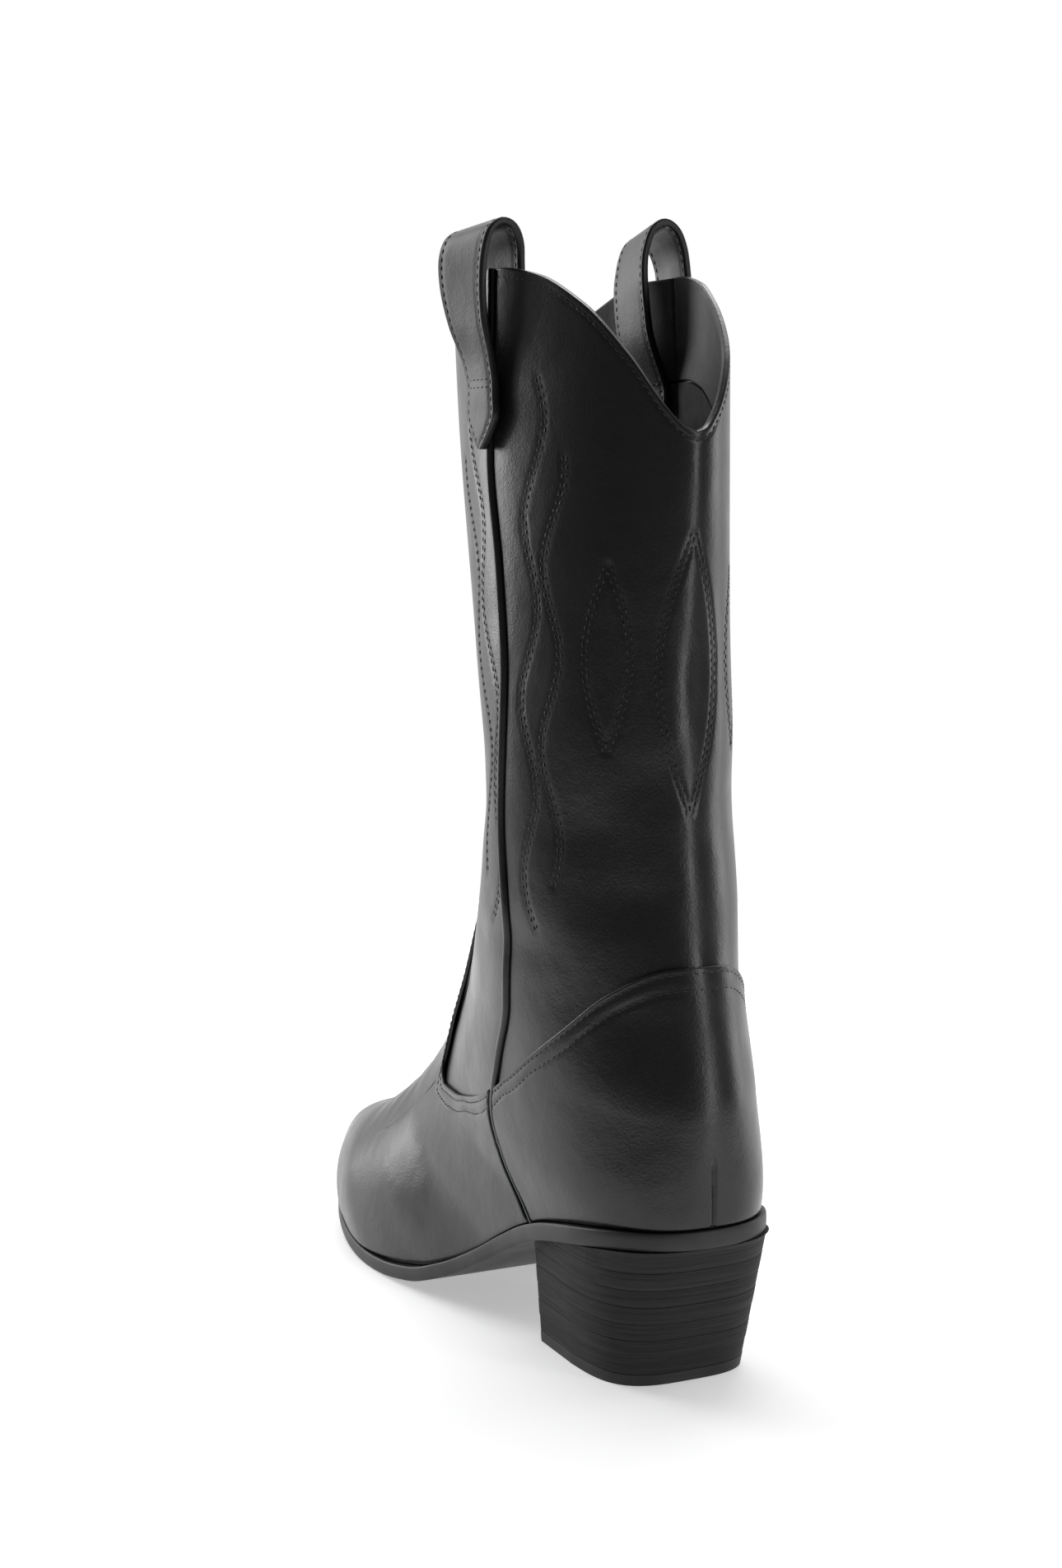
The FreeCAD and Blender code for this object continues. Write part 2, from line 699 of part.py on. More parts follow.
def inside_outline(inset):
    """The inner edge of the lining where it meets the sole, drawn in by an inset."""
    face = size("lining_inner_face") - inset
    heel = []
    for angle in (180, 165, 150, 136, 124, 114):
        place = crossing(lambda place: height_over_sole(place, angle), 0.3, HEEL_PLACE)
        heel.append(boot_point(place, angle, face))
    foot = [0.68, 0.72, 0.76, 0.80, 0.84, 0.88, 0.915, 0.945, 0.97]
    outer = heel + [boot_point(place, sole_angle(place, 1), face) for place in foot]
    heel_inner = []
    for angle in (114, 124, 136, 150, 165):
        place = crossing(lambda place: height_over_sole(place, -angle), 0.3, HEEL_PLACE)
        heel_inner.append(boot_point(place, -angle, face))
    inner = [boot_point(place, sole_angle(place, -1), face) for place in foot[::-1]] + heel_inner
    tip = Vector(0, outer[-1].y - 7.0, 0)
    points = [Vector(point.x, point.y, 0) for point in outer + [tip] + inner[:len(foot)] + heel_inner]
    return smooth_curve(points, closed=True)


def make_bottom_layers():
    """The cork filler with its steel shank, the insole board and the sock liner."""
    length = size("outsole_length")
    gap = size("bottom_layer_gap")
    outline = inside_outline(size("insole_inset"))
    layers = []
    start = gap
    for name, thickness in (
            ("whole_filler", "bottom_filler_thickness"),
            ("insole_board", "insole_board_thickness"),
            ("sock_liner", "sock_liner_thickness")):
        end = start + size(thickness)
        plan = padded_body(name + "_plan", "plan", [outline], "sole_cutter_width", False)
        band = between_lines(
            name + "_band", outsole_top, end, outsole_top, start, -CUTTER_MARGIN, length + CUTTER_MARGIN)
        layers.append(boolean("Common", name, plan, band))
        start = end + gap
    back = size("shank_back_setback")
    front = size("shank_front_setback")
    shank = between_lines(
        "steel_shank", outsole_top, size("bottom_filler_thickness"), outsole_top, gap, back, front, "shank_width")
    slot = between_lines(
        "shank_slot", outsole_top, CUTTER_MARGIN, outsole_top, -CUTTER_MARGIN, back - gap, front + gap,
        "shank_slot_width")
    filler = boolean("Cut", "bottom_filler", layers[0], slot)
    return [shank, filler] + layers[1:]


# ---------------------------------------------------------------- pull straps


def angle_at_setback(place, side, setback):
    def ahead(angle):
        return setback_of(base_point(place, side * angle)) - setback
    return side * crossing(ahead, 5.0, 175.0)


def make_strap_tab(name, side, centre, faces):
    """The pointed end of a strap, lying on the shaft."""
    bottom = size("strap_tab_bottom")
    top = size("strap_tab_top")
    widest = size("strap_width") / 2 - 2.0
    half_width = SmoothLine([(bottom, 1.0), (bottom + 6, 5.5), (bottom + 12, widest), (top, widest + 0.5)])

    def sides(place):
        height = base_point(place, 90).z
        half = half_width(min(max(height, bottom), top))
        return (angle_at_setback(place, side, centre + half), angle_at_setback(place, side, centre - half))

    def over_top(place, angle):
        return base_point(place, angle).z - top

    def over_bottom(place, angle):
        return base_point(place, angle).z - bottom

    return add_panel(name, sides, over_top, over_bottom, faces, 0.3, rows=10, shares=PIPING_SHARES)


def strap_band(name, side, centre, line):
    """A stretch of the strap: its middle line thickened, and as wide as the strap."""
    half = size("strap_thickness") / 2
    middle = [Vector(side * x, z, 0) for x, z in line]
    curve = smooth_curve(middle)
    first, last = curve.FirstParameter, curve.LastParameter
    steps = 2 * len(line)
    left, right = [], []
    for step in range(steps + 1):
        place = first + (last - first) * step / steps
        along = curve.tangent(place)[0]
        sideways = Vector(-along.y, along.x, 0) * half
        left.append(curve.value(place) + sideways)
        right.append(curve.value(place) - sideways)
    edges = [
        smooth_curve(left),
        Part.LineSegment(left[-1], right[-1]),
        smooth_curve(right[::-1]),
        Part.LineSegment(right[0], left[0]),
    ]
    body = padded_body(name, "behind", edges, "strap_width", True)
    body.Placement = Placement(Vector(0, y_at(centre), 0), Rotation())
    return body


def make_pull_straps():
    """Each strap in three stretches: an outer leg, an inner leg and the free arch between them."""
    thickness = 2.2
    outer_start = size("piping_outer_face") + size("seam_gap")
    inner_start = size("lining_inner_face") - size("seam_gap")
    outside = (outer_start + thickness, outer_start)
    inside = (inner_start, inner_start - thickness)
    parts = []
    for side, side_name in ((1, "outer"), (-1, "inner")):
        centre = size(side_name + "_strap_setback")
        lines = STRAP_LINES[side_name]
        parts.append(strap_band("pull_strap_arch_" + side_name, side, centre, lines["arch"]))
        for leg, faces in (("outer_leg", outside), ("inner_leg", inside)):
            name = "pull_strap_%s_%s" % (side_name, leg)
            tab = make_strap_tab(name + "_tab", side, centre, faces)
            band = strap_band(name + "_band", side, centre, lines[leg])
            parts.append(boolean("Fuse", name, tab, band))
    return parts


# ---------------------------------------------------------------- the whole boot


def check_document():
    for item in doc.Objects:
        if "Invalid" in item.State or "Error" in item.State:
            raise RuntimeError("%s did not compute: %s" % (item.Name, item.State))


def write_parts(parts):
    os.makedirs("parts", exist_ok=True)
    for item in parts:
        if item.Shape.isNull() or not item.Shape.isValid() or not item.Shape.Solids:
            raise RuntimeError("%s has no valid solid" % item.Label)
        item.Shape.exportStep("parts/%s.step" % item.Label)


def make_boot():
    nails = make_heel_nails()
    parts = make_upper()
    parts += [nails, make_outsole(nails)]
    parts += make_heel(nails)
    parts += make_bottom_layers()
    parts += make_pull_straps()
    doc.recompute()
    check_document()
    return parts


write_parts(make_boot())
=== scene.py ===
"""A black western boot on a stacked heel: leather, stitching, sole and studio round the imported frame."""
import math

import bmesh
import bpy
import numpy as np
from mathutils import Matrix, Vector
from mathutils.kdtree import KDTree


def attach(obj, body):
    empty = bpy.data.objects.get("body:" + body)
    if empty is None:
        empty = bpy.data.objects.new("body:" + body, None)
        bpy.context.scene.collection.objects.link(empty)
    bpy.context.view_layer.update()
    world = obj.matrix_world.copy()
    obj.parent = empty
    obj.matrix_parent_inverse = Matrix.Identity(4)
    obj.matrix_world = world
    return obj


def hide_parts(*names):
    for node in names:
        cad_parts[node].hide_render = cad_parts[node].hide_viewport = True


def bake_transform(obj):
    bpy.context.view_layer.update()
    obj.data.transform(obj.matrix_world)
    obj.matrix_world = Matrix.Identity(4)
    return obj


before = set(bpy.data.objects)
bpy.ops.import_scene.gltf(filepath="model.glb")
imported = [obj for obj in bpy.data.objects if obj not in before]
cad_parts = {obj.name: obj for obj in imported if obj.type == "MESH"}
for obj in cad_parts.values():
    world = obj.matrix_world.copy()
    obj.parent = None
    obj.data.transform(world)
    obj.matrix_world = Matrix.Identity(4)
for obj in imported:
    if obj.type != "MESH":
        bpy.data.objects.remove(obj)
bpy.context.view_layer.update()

# Lengths are in millimetres until a mesh is made. A "setback" is the distance forward from the
# outsole's rear edge, and an "angle" runs round a section of the boot: 0 at the middle of the front,
# 90 at the widest place and 180 at the middle of the back, positive on the outer (+X) side.
METRES_PER_MM = 0.001
OUTSOLE_LENGTH = 285.0

# ---------------------------------------------------------------- the boot's shape, as in the CAD

# back setback and height, front setback and height, half widths on the outer and inner sides, the
# share of the way from back to front that is widest, and the roundness of the back and front
SECTIONS = (
    (10.5, 372.0, 167.0, 372.0, 36.0, 35.0, 0.50, 1.80, 1.80),
    (13.5, 306.0, 155.0, 306.0, 37.8, 37.2, 0.50, 1.80, 1.80),
    (16.5, 235.0, 138.0, 235.0, 38.3, 38.3, 0.50, 1.85, 1.80),
    (16.3, 182.0, 128.5, 182.0, 39.0, 39.0, 0.50, 1.85, 1.80),
    (13.5, 152.0, 131.5, 165.0, 39.0, 39.0, 0.50, 1.90, 1.80),
    (8.5, 122.0, 138.0, 144.5, 38.5, 37.5, 0.50, 1.90, 1.85),
    (2.5, 88.0, 149.0, 120.0, 37.5, 37.2, 0.48, 2.15, 1.90),
    (2.0, 56.0, 163.0, 102.0, 36.6, 36.6, 0.46, 2.60, 1.90),
    (10.0, 28.0, 178.0, 86.0, 32.4, 31.4, 0.52, 2.60, 1.90),
    (60.0, 12.0, 194.0, 72.0, 32.8, 29.8, 0.52, 2.40, 1.90),
    (120.0, -4.0, 208.0, 61.0, 39.4, 36.2, 0.42, 2.50, 1.95),
    (165.0, -9.0, 224.0, 51.5, 42.5, 42.0, 0.33, 2.90, 2.00),
    (205.0, -6.0, 240.0, 45.5, 36.4, 37.6, 0.32, 3.00, 2.00),
    (240.0, -1.0, 256.0, 40.5, 24.6, 26.0, 0.33, 2.80, 2.00),
    (264.0, 5.0, 271.0, 34.5, 13.6, 15.4, 0.36, 2.60, 2.00),
    (276.0, 12.0, 279.0, 29.0, 6.4, 7.4, 0.42, 2.20, 2.00),
    (282.2, 19.5, 283.0, 23.5, 1.0, 1.0, 0.50, 2.00, 2.00),
)
OUTSOLE_TOP = (
    (-6, 54.0), (12, 53.5), (30, 51.5), (55, 46.5), (72, 41.0), (88, 33.5), (105, 24.0),
    (125, 14.5), (145, 8.0), (165, 5.6), (180, 5.2), (200, 5.8), (225, 9.2), (250, 13.6), (292, 21.5),
)
OUTSOLE_BOTTOM = (
    (-6, 47.8), (12, 47.3), (30, 45.3), (55, 40.3), (72, 34.8), (88, 27.5), (105, 18.5),
    (125, 9.0), (145, 2.6), (165, 0.3), (180, 0.0), (200, 0.6), (225, 4.0), (250, 8.4), (292, 16.5),
)
OUTSOLE_OUTER_SIDE = (
    (2, 13.5), (8, 23.5), (18, 30.5), (32, 34.2), (50, 34.4), (70, 33.4), (90, 33.4), (115, 37.0),
    (140, 41.8), (165, 44.5), (185, 44.0), (205, 40.8), (225, 35.4), (245, 27.0), (262, 18.4), (276, 10.4),
)
OUTSOLE_INNER_SIDE = (
    (2, 13.5), (8, 23.5), (18, 30.5), (32, 34.0), (50, 34.0), (70, 32.4), (90, 31.0), (115, 32.6),
    (140, 37.4), (165, 42.6), (185, 44.5), (205, 42.6), (225, 37.4), (245, 29.2), (262, 20.2), (276, 11.6),
)
HEEL_COUNTER_EDGE = ((-8, 137), (11, 137), (24, 129), (40, 114.5), (58, 101.5), (75, 91), (100, 77))
SIDE_SEAM = (
    (10, 45), (30, 55), (47, 68), (62, 80), (80, 85), (97, 80), (118, 72), (145, 71),
    (182, 74), (225, 73), (262, 77), (300, 84), (340, 85), (376, 86),
)
VAMP_EDGE = (
    (0, 168), (12, 165), (20, 155), (26, 139), (31, 118), (36, 97), (43, 81), (53, 74), (62, 74.5),
    (70, 78), (78, 83), (86, 89), (97, 96), (110, 104),
)
OUTER_TOP_LINE = (
    (0, 318.0), (12, 322.0), (27, 337.0), (42, 351.0), (60, 359.5), (78, 361.0), (96, 361.0),
    (112, 358.0), (130, 347.5), (147, 331.0), (163, 314.0), (173, 307.8), (180, 306.5),
)
INNER_TOP_LINE = (
    (0, 318.0), (12, 321.0), (27, 333.0), (42, 345.0), (54, 352.5), (66, 358.5), (78, 361.0), (96, 361.0),
    (108, 358.0), (118, 351.0), (130, 341.0), (147, 327.0), (163, 313.5), (173, 307.8), (180, 306.5),
)
HEEL_PLACE = 0.655
TOE_PLACE = 0.999

# the faces of each layer, outwards from the shaft panels' outer face
OVERLAY_FACES = (1.75, 0.55)
PANEL_FACES = (0.0, -1.6)
LINING_FACES = (-1.75, -2.75)
PIPING_HALF_WIDTH = 1.7
SEAM_GAP = 0.4
OVERLAY_LAP = 9.0
FACING_DEPTH = 35.0


class SmoothLine:
    """A value that follows (position, value) rows without overshooting them."""

    def __init__(self, rows):
        self.at = np.array([row[0] for row in rows], float)
        self.value = np.array([row[1] for row in rows], float)
        rise = np.diff(self.value) / np.diff(self.at)
        product = rise[:-1] * rise[1:]
        total = np.where(product > 0, rise[:-1] + rise[1:], 1.0)
        middle = np.where(product > 0, 2 * product / total, 0.0)
        self.slope = np.concatenate([rise[:1], middle, rise[-1:]])

    def __call__(self, position):
        position = np.asarray(position, float)
        index = np.clip(np.searchsorted(self.at, position, side="right") - 1, 0, len(self.at) - 2)
        step = self.at[index + 1] - self.at[index]
        share = np.clip((position - self.at[index]) / step, 0.0, 1.0)
        rise = self.value[index + 1] - self.value[index]
        start_bend = step * self.slope[index] - rise
        end_bend = rise - step * self.slope[index + 1]
        bend = start_bend * (1 - share) + end_bend * share
        inside = self.value[index] + rise * share + share * (1 - share) * bend
        before = np.minimum(position - self.at[0], 0.0) * self.slope[0]
        after = np.maximum(position - self.at[-1], 0.0) * self.slope[-1]
        return inside + before + after


outsole_top = SmoothLine(OUTSOLE_TOP)
outsole_bottom = SmoothLine(OUTSOLE_BOTTOM)
heel_counter_edge = SmoothLine(HEEL_COUNTER_EDGE)
side_seam = SmoothLine(SIDE_SEAM)
vamp_edge = SmoothLine(VAMP_EDGE)
outer_top_line = SmoothLine(OUTER_TOP_LINE)
inner_top_line = SmoothLine(INNER_TOP_LINE)


def section_lines():
    """A smooth line along the boot for each column of SECTIONS."""
    table = np.array(SECTIONS)
    back_step = np.hypot(np.diff(table[:, 0]), np.diff(table[:, 1]))
    front_step = np.hypot(np.diff(table[:, 2]), np.diff(table[:, 3]))
    places = np.concatenate([[0.0], np.cumsum(back_step + front_step)])
    places /= places[-1]
    return [SmoothLine(list(zip(places, column))) for column in table.T]


SECTION_LINES = section_lines()


def y_at(setback):
    return OUTSOLE_LENGTH / 2 - setback


def setback_of(points):
    return OUTSOLE_LENGTH / 2 - points[..., 1]


def unit(vectors):
    """Vectors brought to a length of 1; null vectors stay null."""
    return vectors / (np.linalg.norm(vectors, axis=-1, keepdims=True) + 1e-9)


def travelled(points):
    """The distance gone along a row of points, at each of them."""
    return np.concatenate([[0], np.cumsum(np.linalg.norm(np.diff(points, axis=0), axis=1))])


def base_point(place, angle):
    """Points of the shaft panels' outer face, and of that surface carried on round the foot."""
    place, angle = np.broadcast_arrays(np.asarray(place, float), np.asarray(angle, float))
    fields = [line(place) for line in SECTION_LINES]
    back_setback, back_height, front_setback, front_height = fields[:4]
    outer_half, inner_half, widest, back_round, front_round = fields[4:]
    cos, sin = np.cos(np.radians(angle)), np.sin(np.radians(angle))
    is_front = cos >= 0
    power = 2 / np.where(is_front, front_round, back_round)
    middle_setback = back_setback + (front_setback - back_setback) * widest
    middle_height = back_height + (front_height - back_height) * widest
    end_setback = np.where(is_front, front_setback, back_setback)
    end_height = np.where(is_front, front_height, back_height)
    reach = np.abs(cos) ** power
    across = np.where(sin >= 0, outer_half, inner_half) * np.sign(sin) * np.abs(sin) ** power
    setback = middle_setback + (end_setback - middle_setback) * reach
    height = middle_height + (end_height - middle_height) * reach
    return np.stack([across, y_at(setback), height], axis=-1)


def outwards(place, angle):
    """The unit normals of the base surface."""
    place_step, angle_step = 0.002, 1.0
    place = np.clip(place, place_step, 1 - place_step)
    down = base_point(place + place_step, angle) - base_point(place - place_step, angle)
    around = base_point(place, angle + angle_step) - base_point(place, angle - angle_step)
    return unit(np.cross(down, around))


# soft dents of the worn shaft and ankle: angle, height, their widths, and depth
DENTS = (
    (-176, 226, 13, 20, 1.3), (168, 196, 22, 12, 0.7), (150, 262, 20, 26, -0.6), (128, 180, 18, 16, 0.9),
    (146, 158, 24, 9, 0.8), (112, 206, 12, 30, 0.5), (-140, 190, 24, 14, 1.0), (-118, 250, 18, 26, 0.7),
    (60, 200, 20, 18, 0.8), (-52, 215, 22, 20, 0.9), (20, 232, 26, 16, 0.6), (35, 182, 22, 8, 1.2),
    (-30, 178, 26, 8, 1.2), (100, 140, 16, 8, 0.8), (-100, 142, 16, 9, 0.8), (170, 110, 16, 16, 0.5),
    (140, 96, 14, 14, -0.5), (-150, 100, 14, 16, 0.5),
)
# creases over the ball of the foot: setback at the middle, sideways slant, width, depth, half reach
CREASES = (
    (194, 0.10, 4.8, 0.9, 52), (206, -0.05, 4.2, 0.7, 44), (182, 0.14, 4.4, 0.6, 48),
    (217, 0.04, 5.2, 0.5, 38),
)


def dent(place, angle):
    """How far the worn leather lies inside its made shape."""
    points = base_point(place, angle)
    turned = (angle + 180) % 360 - 180
    depth = np.zeros_like(points[..., 0])
    for at_angle, height, angle_width, height_width, most in DENTS:
        turn = (turned - at_angle + 180) % 360 - 180
        depth += most * np.exp(-(turn / angle_width) ** 2 - ((points[..., 2] - height) / height_width) ** 2)
    on_top = np.clip(1.2 - np.abs(turned) / 90, 0, 1)
    for setback, slant, width, most, reach in CREASES:
        line = setback + slant * points[..., 0] - 0.006 * points[..., 0] ** 2
        fade = np.exp(-(turned / reach) ** 2) * on_top
        depth += most * fade * np.exp(-((setback_of(points) - line) / width) ** 2)
    return depth


def boot_point(place, angle, face):
    """Points at a distance outwards from the base surface, dents included."""
    face = np.asarray(face, float) - dent(place, angle)
    return base_point(place, angle) + outwards(place, angle) * face[..., None]


# ---------------------------------------------------------------- edges of the leather pieces


def crossing(gap, low, high, steps=24):
    """Where gap, positive at low, turns negative before high; high itself where it never does."""
    low, high = np.broadcast_arrays(np.asarray(low, float), np.asarray(high, float))
    never = gap(high) > 0
    above, below = low, high
    for _ in range(steps):
        middle = (above + below) / 2
        positive = gap(middle) > 0
        above = np.where(positive, middle, above)
        below = np.where(positive, below, middle)
    return np.where(never, high, (above + below) / 2)


def height_over_sole(place, angle):
    points = base_point(place, angle)
    return points[..., 2] - outsole_top(setback_of(points))


TABLE_PLACES = np.linspace(0, 1, 1201)


def seam_table(side, shift):
    """The side seam's angle at each of TABLE_PLACES, moved forward by shift."""
    def ahead_of_seam(angle):
        points = base_point(TABLE_PLACES, side * angle)
        return setback_of(points) - side_seam(points[..., 2]) - shift
    return crossing(ahead_of_seam, np.full_like(TABLE_PLACES, 20.0), 180.0)


def sole_table(side, clear):
    def over_sole(angle):
        return height_over_sole(TABLE_PLACES, side * angle) - clear
    return crossing(over_sole, np.full_like(TABLE_PLACES, 40.0), 180.0)


def between_tables(first, last):
    """A panel's side limits, read from two tables of angles."""
    return lambda place: (np.interp(place, TABLE_PLACES, first), np.interp(place, TABLE_PLACES, last))


def front_sides(shift):
    """The limits of a front piece: the side seams, then the outsole."""
    limits = [np.minimum(seam_table(side, shift), sole_table(side, SEAM_GAP)) for side in (1, -1)]
    return between_tables(limits[0], -limits[1])


def back_sides(shift):
    """The limits of a back piece: the side seams, the long way round."""
    return between_tables(seam_table(1, -shift), 360 - seam_table(-1, -shift))


def from_front(angle):
    return np.abs((angle + 180) % 360 - 180)


def over_top_line(drop=0.0):
    def over(place, angle):
        turned = from_front(angle)
        is_outer = np.sin(np.radians(angle)) >= 0
        edge = np.where(is_outer, outer_top_line(turned), inner_top_line(turned))
        return base_point(place, angle)[..., 2] - edge + drop
    return over


def over_vamp_edge(drop=0.0):
    return lambda place, angle: base_point(place, angle)[..., 2] - vamp_edge(from_front(angle)) + drop


def over_counter_edge(drop=0.0):
    def over(place, angle):
        points = base_point(place, angle)
        return points[..., 2] - heel_counter_edge(setback_of(points)) + drop
    return over


def over_sole(drop=0.0):
    return lambda place, angle: height_over_sole(place, angle) + drop


def never_reached(place, angle):
    return np.ones(np.broadcast(place, angle).shape)


# distances from an edge, and from the middle where a seam runs, at which a grid has lines
NEAR_EDGE = np.array([0.0, 0.22, 0.5, 0.85, 1.4])
NEAR_MIDDLE = np.array([-1.5, -1.0, -0.7, -0.45, -0.2, 0.05, 0.3, 0.55, 0.8, 1.1])


def spaced(length, step, fine_middle=False):
    """Shares of a length, close together near both ends and perhaps at the middle."""
    count = max(int(length / step), 4)
    margin = NEAR_EDGE[-1] + step * 0.8
    lines = [NEAR_EDGE, np.linspace(margin, length - margin, count), length - NEAR_EDGE]
    if fine_middle:
        lines.append(length / 2 + NEAR_MIDDLE)
    return np.sort(np.concatenate(lines)) / length


class Panel:
    """A stretch of the boot's surface between four edges, as a grid of places and angles."""

    def __init__(self, sides, above_top, above_bottom, last_place, step=1.35, fine_middle=False):
        self.sides, self.above_top, self.above_bottom = sides, above_top, above_bottom
        self.last_place = last_place
        coarse = base_point(*self.grid(np.linspace(0, 1, 25), np.linspace(0, 1, 25)))
        height = np.linalg.norm(np.diff(coarse, axis=0), axis=2).sum(axis=0).max()
        width = np.linalg.norm(np.diff(coarse, axis=1), axis=2).sum(axis=1).max()
        self.place, self.angle = self.grid(spaced(height, step), spaced(width, step, fine_middle))
        self.points = base_point(self.place, self.angle)
        self.from_top = np.array([travelled(column) for column in self.points.swapaxes(0, 1)]).T
        self.from_left = np.array([travelled(row) for row in self.points])
        self.from_right = self.from_left[:, -1:] - self.from_left
        self.from_edge = np.minimum.reduce(
            [self.from_top, self.from_top[-1] - self.from_top, self.from_left, self.from_right])

    def grid(self, row_shares, column_shares):
        def angle_at(place):
            first, last = self.sides(place)
            return first + (last - first) * column_shares

        def reached(over, start):
            return crossing(lambda place: over(place, angle_at(place)), start, self.last_place)
        start = reached(self.above_top, np.zeros_like(column_shares))
        end = reached(self.above_bottom, start)
        place = start + (end - start) * row_shares[:, None]
        return place, angle_at(place)

    def rounded(self, face, radius=0.9, depth=0.5):
        """A face that turns down near the panel's edges."""
        share = np.clip(1 - self.from_edge / radius, 0, 1)
        return face - depth * (1 - np.sqrt(1 - share ** 2))

    def tucked(self, face, reach=2.4, depth=0.9):
        """A face that draws in where the leather goes under at the outsole."""
        over = np.clip(1 - height_over_sole(self.place, self.angle) / reach, 0, 1)
        return face - depth * over ** 2

    def along_top(self, inset):
        """Places and angles at an inset from the upper edge."""
        places, angles = [], []
        for away, place, angle in zip(self.from_top.T, self.place.T, self.angle.T):
            places.append(np.interp(inset, away, place))
            angles.append(np.interp(inset, away, angle))
        return np.array(places), np.array(angles)


# ---------------------------------------------------------------- meshes


def add_piece(name, points, faces, material, replaced=(), body="root", sharp=50.0):
    """A mesh object from points in millimetres."""
    mesh = bpy.data.meshes.new(name)
    mesh.from_pydata((np.asarray(points) * METRES_PER_MM).tolist(), [], faces)
    work = bmesh.new()
    work.from_mesh(mesh)
    bmesh.ops.remove_doubles(work, verts=work.verts, dist=0.000001)
    bmesh.ops.recalc_face_normals(work, faces=work.faces)
    work.to_mesh(mesh)
    work.free()
    mesh.polygons.foreach_set("use_smooth", [True] * len(mesh.polygons))
    mesh.set_sharp_from_angle(angle=math.radians(sharp))
    mesh.materials.append(material)
    piece = bpy.data.objects.new(name, mesh)
    bpy.context.scene.collection.objects.link(piece)
    if body:
        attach(piece, body)
    if replaced:
        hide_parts(*replaced)
    return piece


def grid_faces(index):
    """Four-cornered faces between the neighbours in a grid of point numbers."""
    corners = [index[:-1, :-1], index[:-1, 1:], index[1:, 1:], index[1:, :-1]]
    return np.stack([corner.ravel() for corner in corners], axis=1).tolist()


def ring_faces(rings, count, capped=True):
    """Faces of a stack of closed rings of count points each, with both ends filled if capped."""
    near = np.arange((rings - 1) * count).reshape(-1, count)
    after = np.roll(near, -1, axis=1)
    faces = np.stack([near, after, after + count, near + count], axis=-1).reshape(-1, 4).tolist()
    if capped:
        faces.append(list(range(count))[::-1])
        faces.append(list(range((rings - 1) * count, rings * count)))
    return faces


def shell_mesh(outer, inner):
    """Points and faces of a closed sheet between two grids of the same size."""
    rows, columns = outer.shape[:2]
    count = rows * columns
    index = np.arange(count).reshape(rows, columns)
    faces = grid_faces(index) + [face[::-1] for face in grid_faces(index + count)]
    border = np.concatenate([index[0, :-1], index[:-1, -1], index[-1, :0:-1], index[:0:-1, 0]])
    after = np.roll(border, -1)
    faces += np.stack([border, border + count, after + count, after], axis=1).tolist()
    return np.concatenate([outer.reshape(-1, 3), inner.reshape(-1, 3)]), faces


def add_shell(name, panel, outer_face, inner_face, material, slot, replaced):
    outer = boot_point(panel.place, panel.angle, outer_face)
    inner = boot_point(panel.place, panel.angle, np.broadcast_to(inner_face, panel.place.shape))
    points, faces = shell_mesh(outer, inner)
    return add_piece(name, points, faces, material, replaced)


# ---------------------------------------------------------------- stitching

STITCH_LENGTH = 2.3
STITCH_GAP = 0.55
THREAD_RADIUS = 0.27
GROOVE_DEPTH = 0.30
GROOVE_WIDTH = 0.62
PATH_STEP = 0.45
THREAD_SIDES = 6
THREAD_SHARP = 80.0
# along a stitch from -1 to 1: the place, the share of the full radius, and how far the thread stands up
THREAD_RINGS = (
    (-1.0, 0.05, -0.34), (-0.82, 0.72, -0.12), (-0.4, 1.0, 0.1), (0.4, 1.0, 0.1), (0.82, 0.72, -0.12),
    (1.0, 0.05, -0.34),
)


def resampled(path, step=PATH_STEP):
    """Rows of numbers spaced evenly by the distance between their first three."""
    away = travelled(path[:, :3])
    count = max(int(away[-1] / step), 2)
    at = np.linspace(0, away[-1], count + 1)
    return np.stack([np.interp(at, away, column) for column in path.T], axis=1)


def surface_run(place, angle, face):
    """A dense path on the boot's surface: points and normals in six columns."""
    place, angle = np.asarray(place), np.asarray(angle)
    face = np.broadcast_to(face, place.shape)
    path = np.concatenate([boot_point(place, angle, face), outwards(place, angle)], axis=1)
    return resampled(path)


def groove(points, runs):
    """How deep the leather is drawn in at each point beside the stitched runs."""
    path = np.concatenate([run[:, :3] for run in runs])
    tree = KDTree(len(path))
    for number, point in enumerate(path):
        tree.insert(point, number)
    tree.balance()
    away = np.array([tree.find(point)[2] for point in points.reshape(-1, 3)])
    return (GROOVE_DEPTH * np.exp(-(away / GROOVE_WIDTH) ** 2)).reshape(points.shape[:-1])


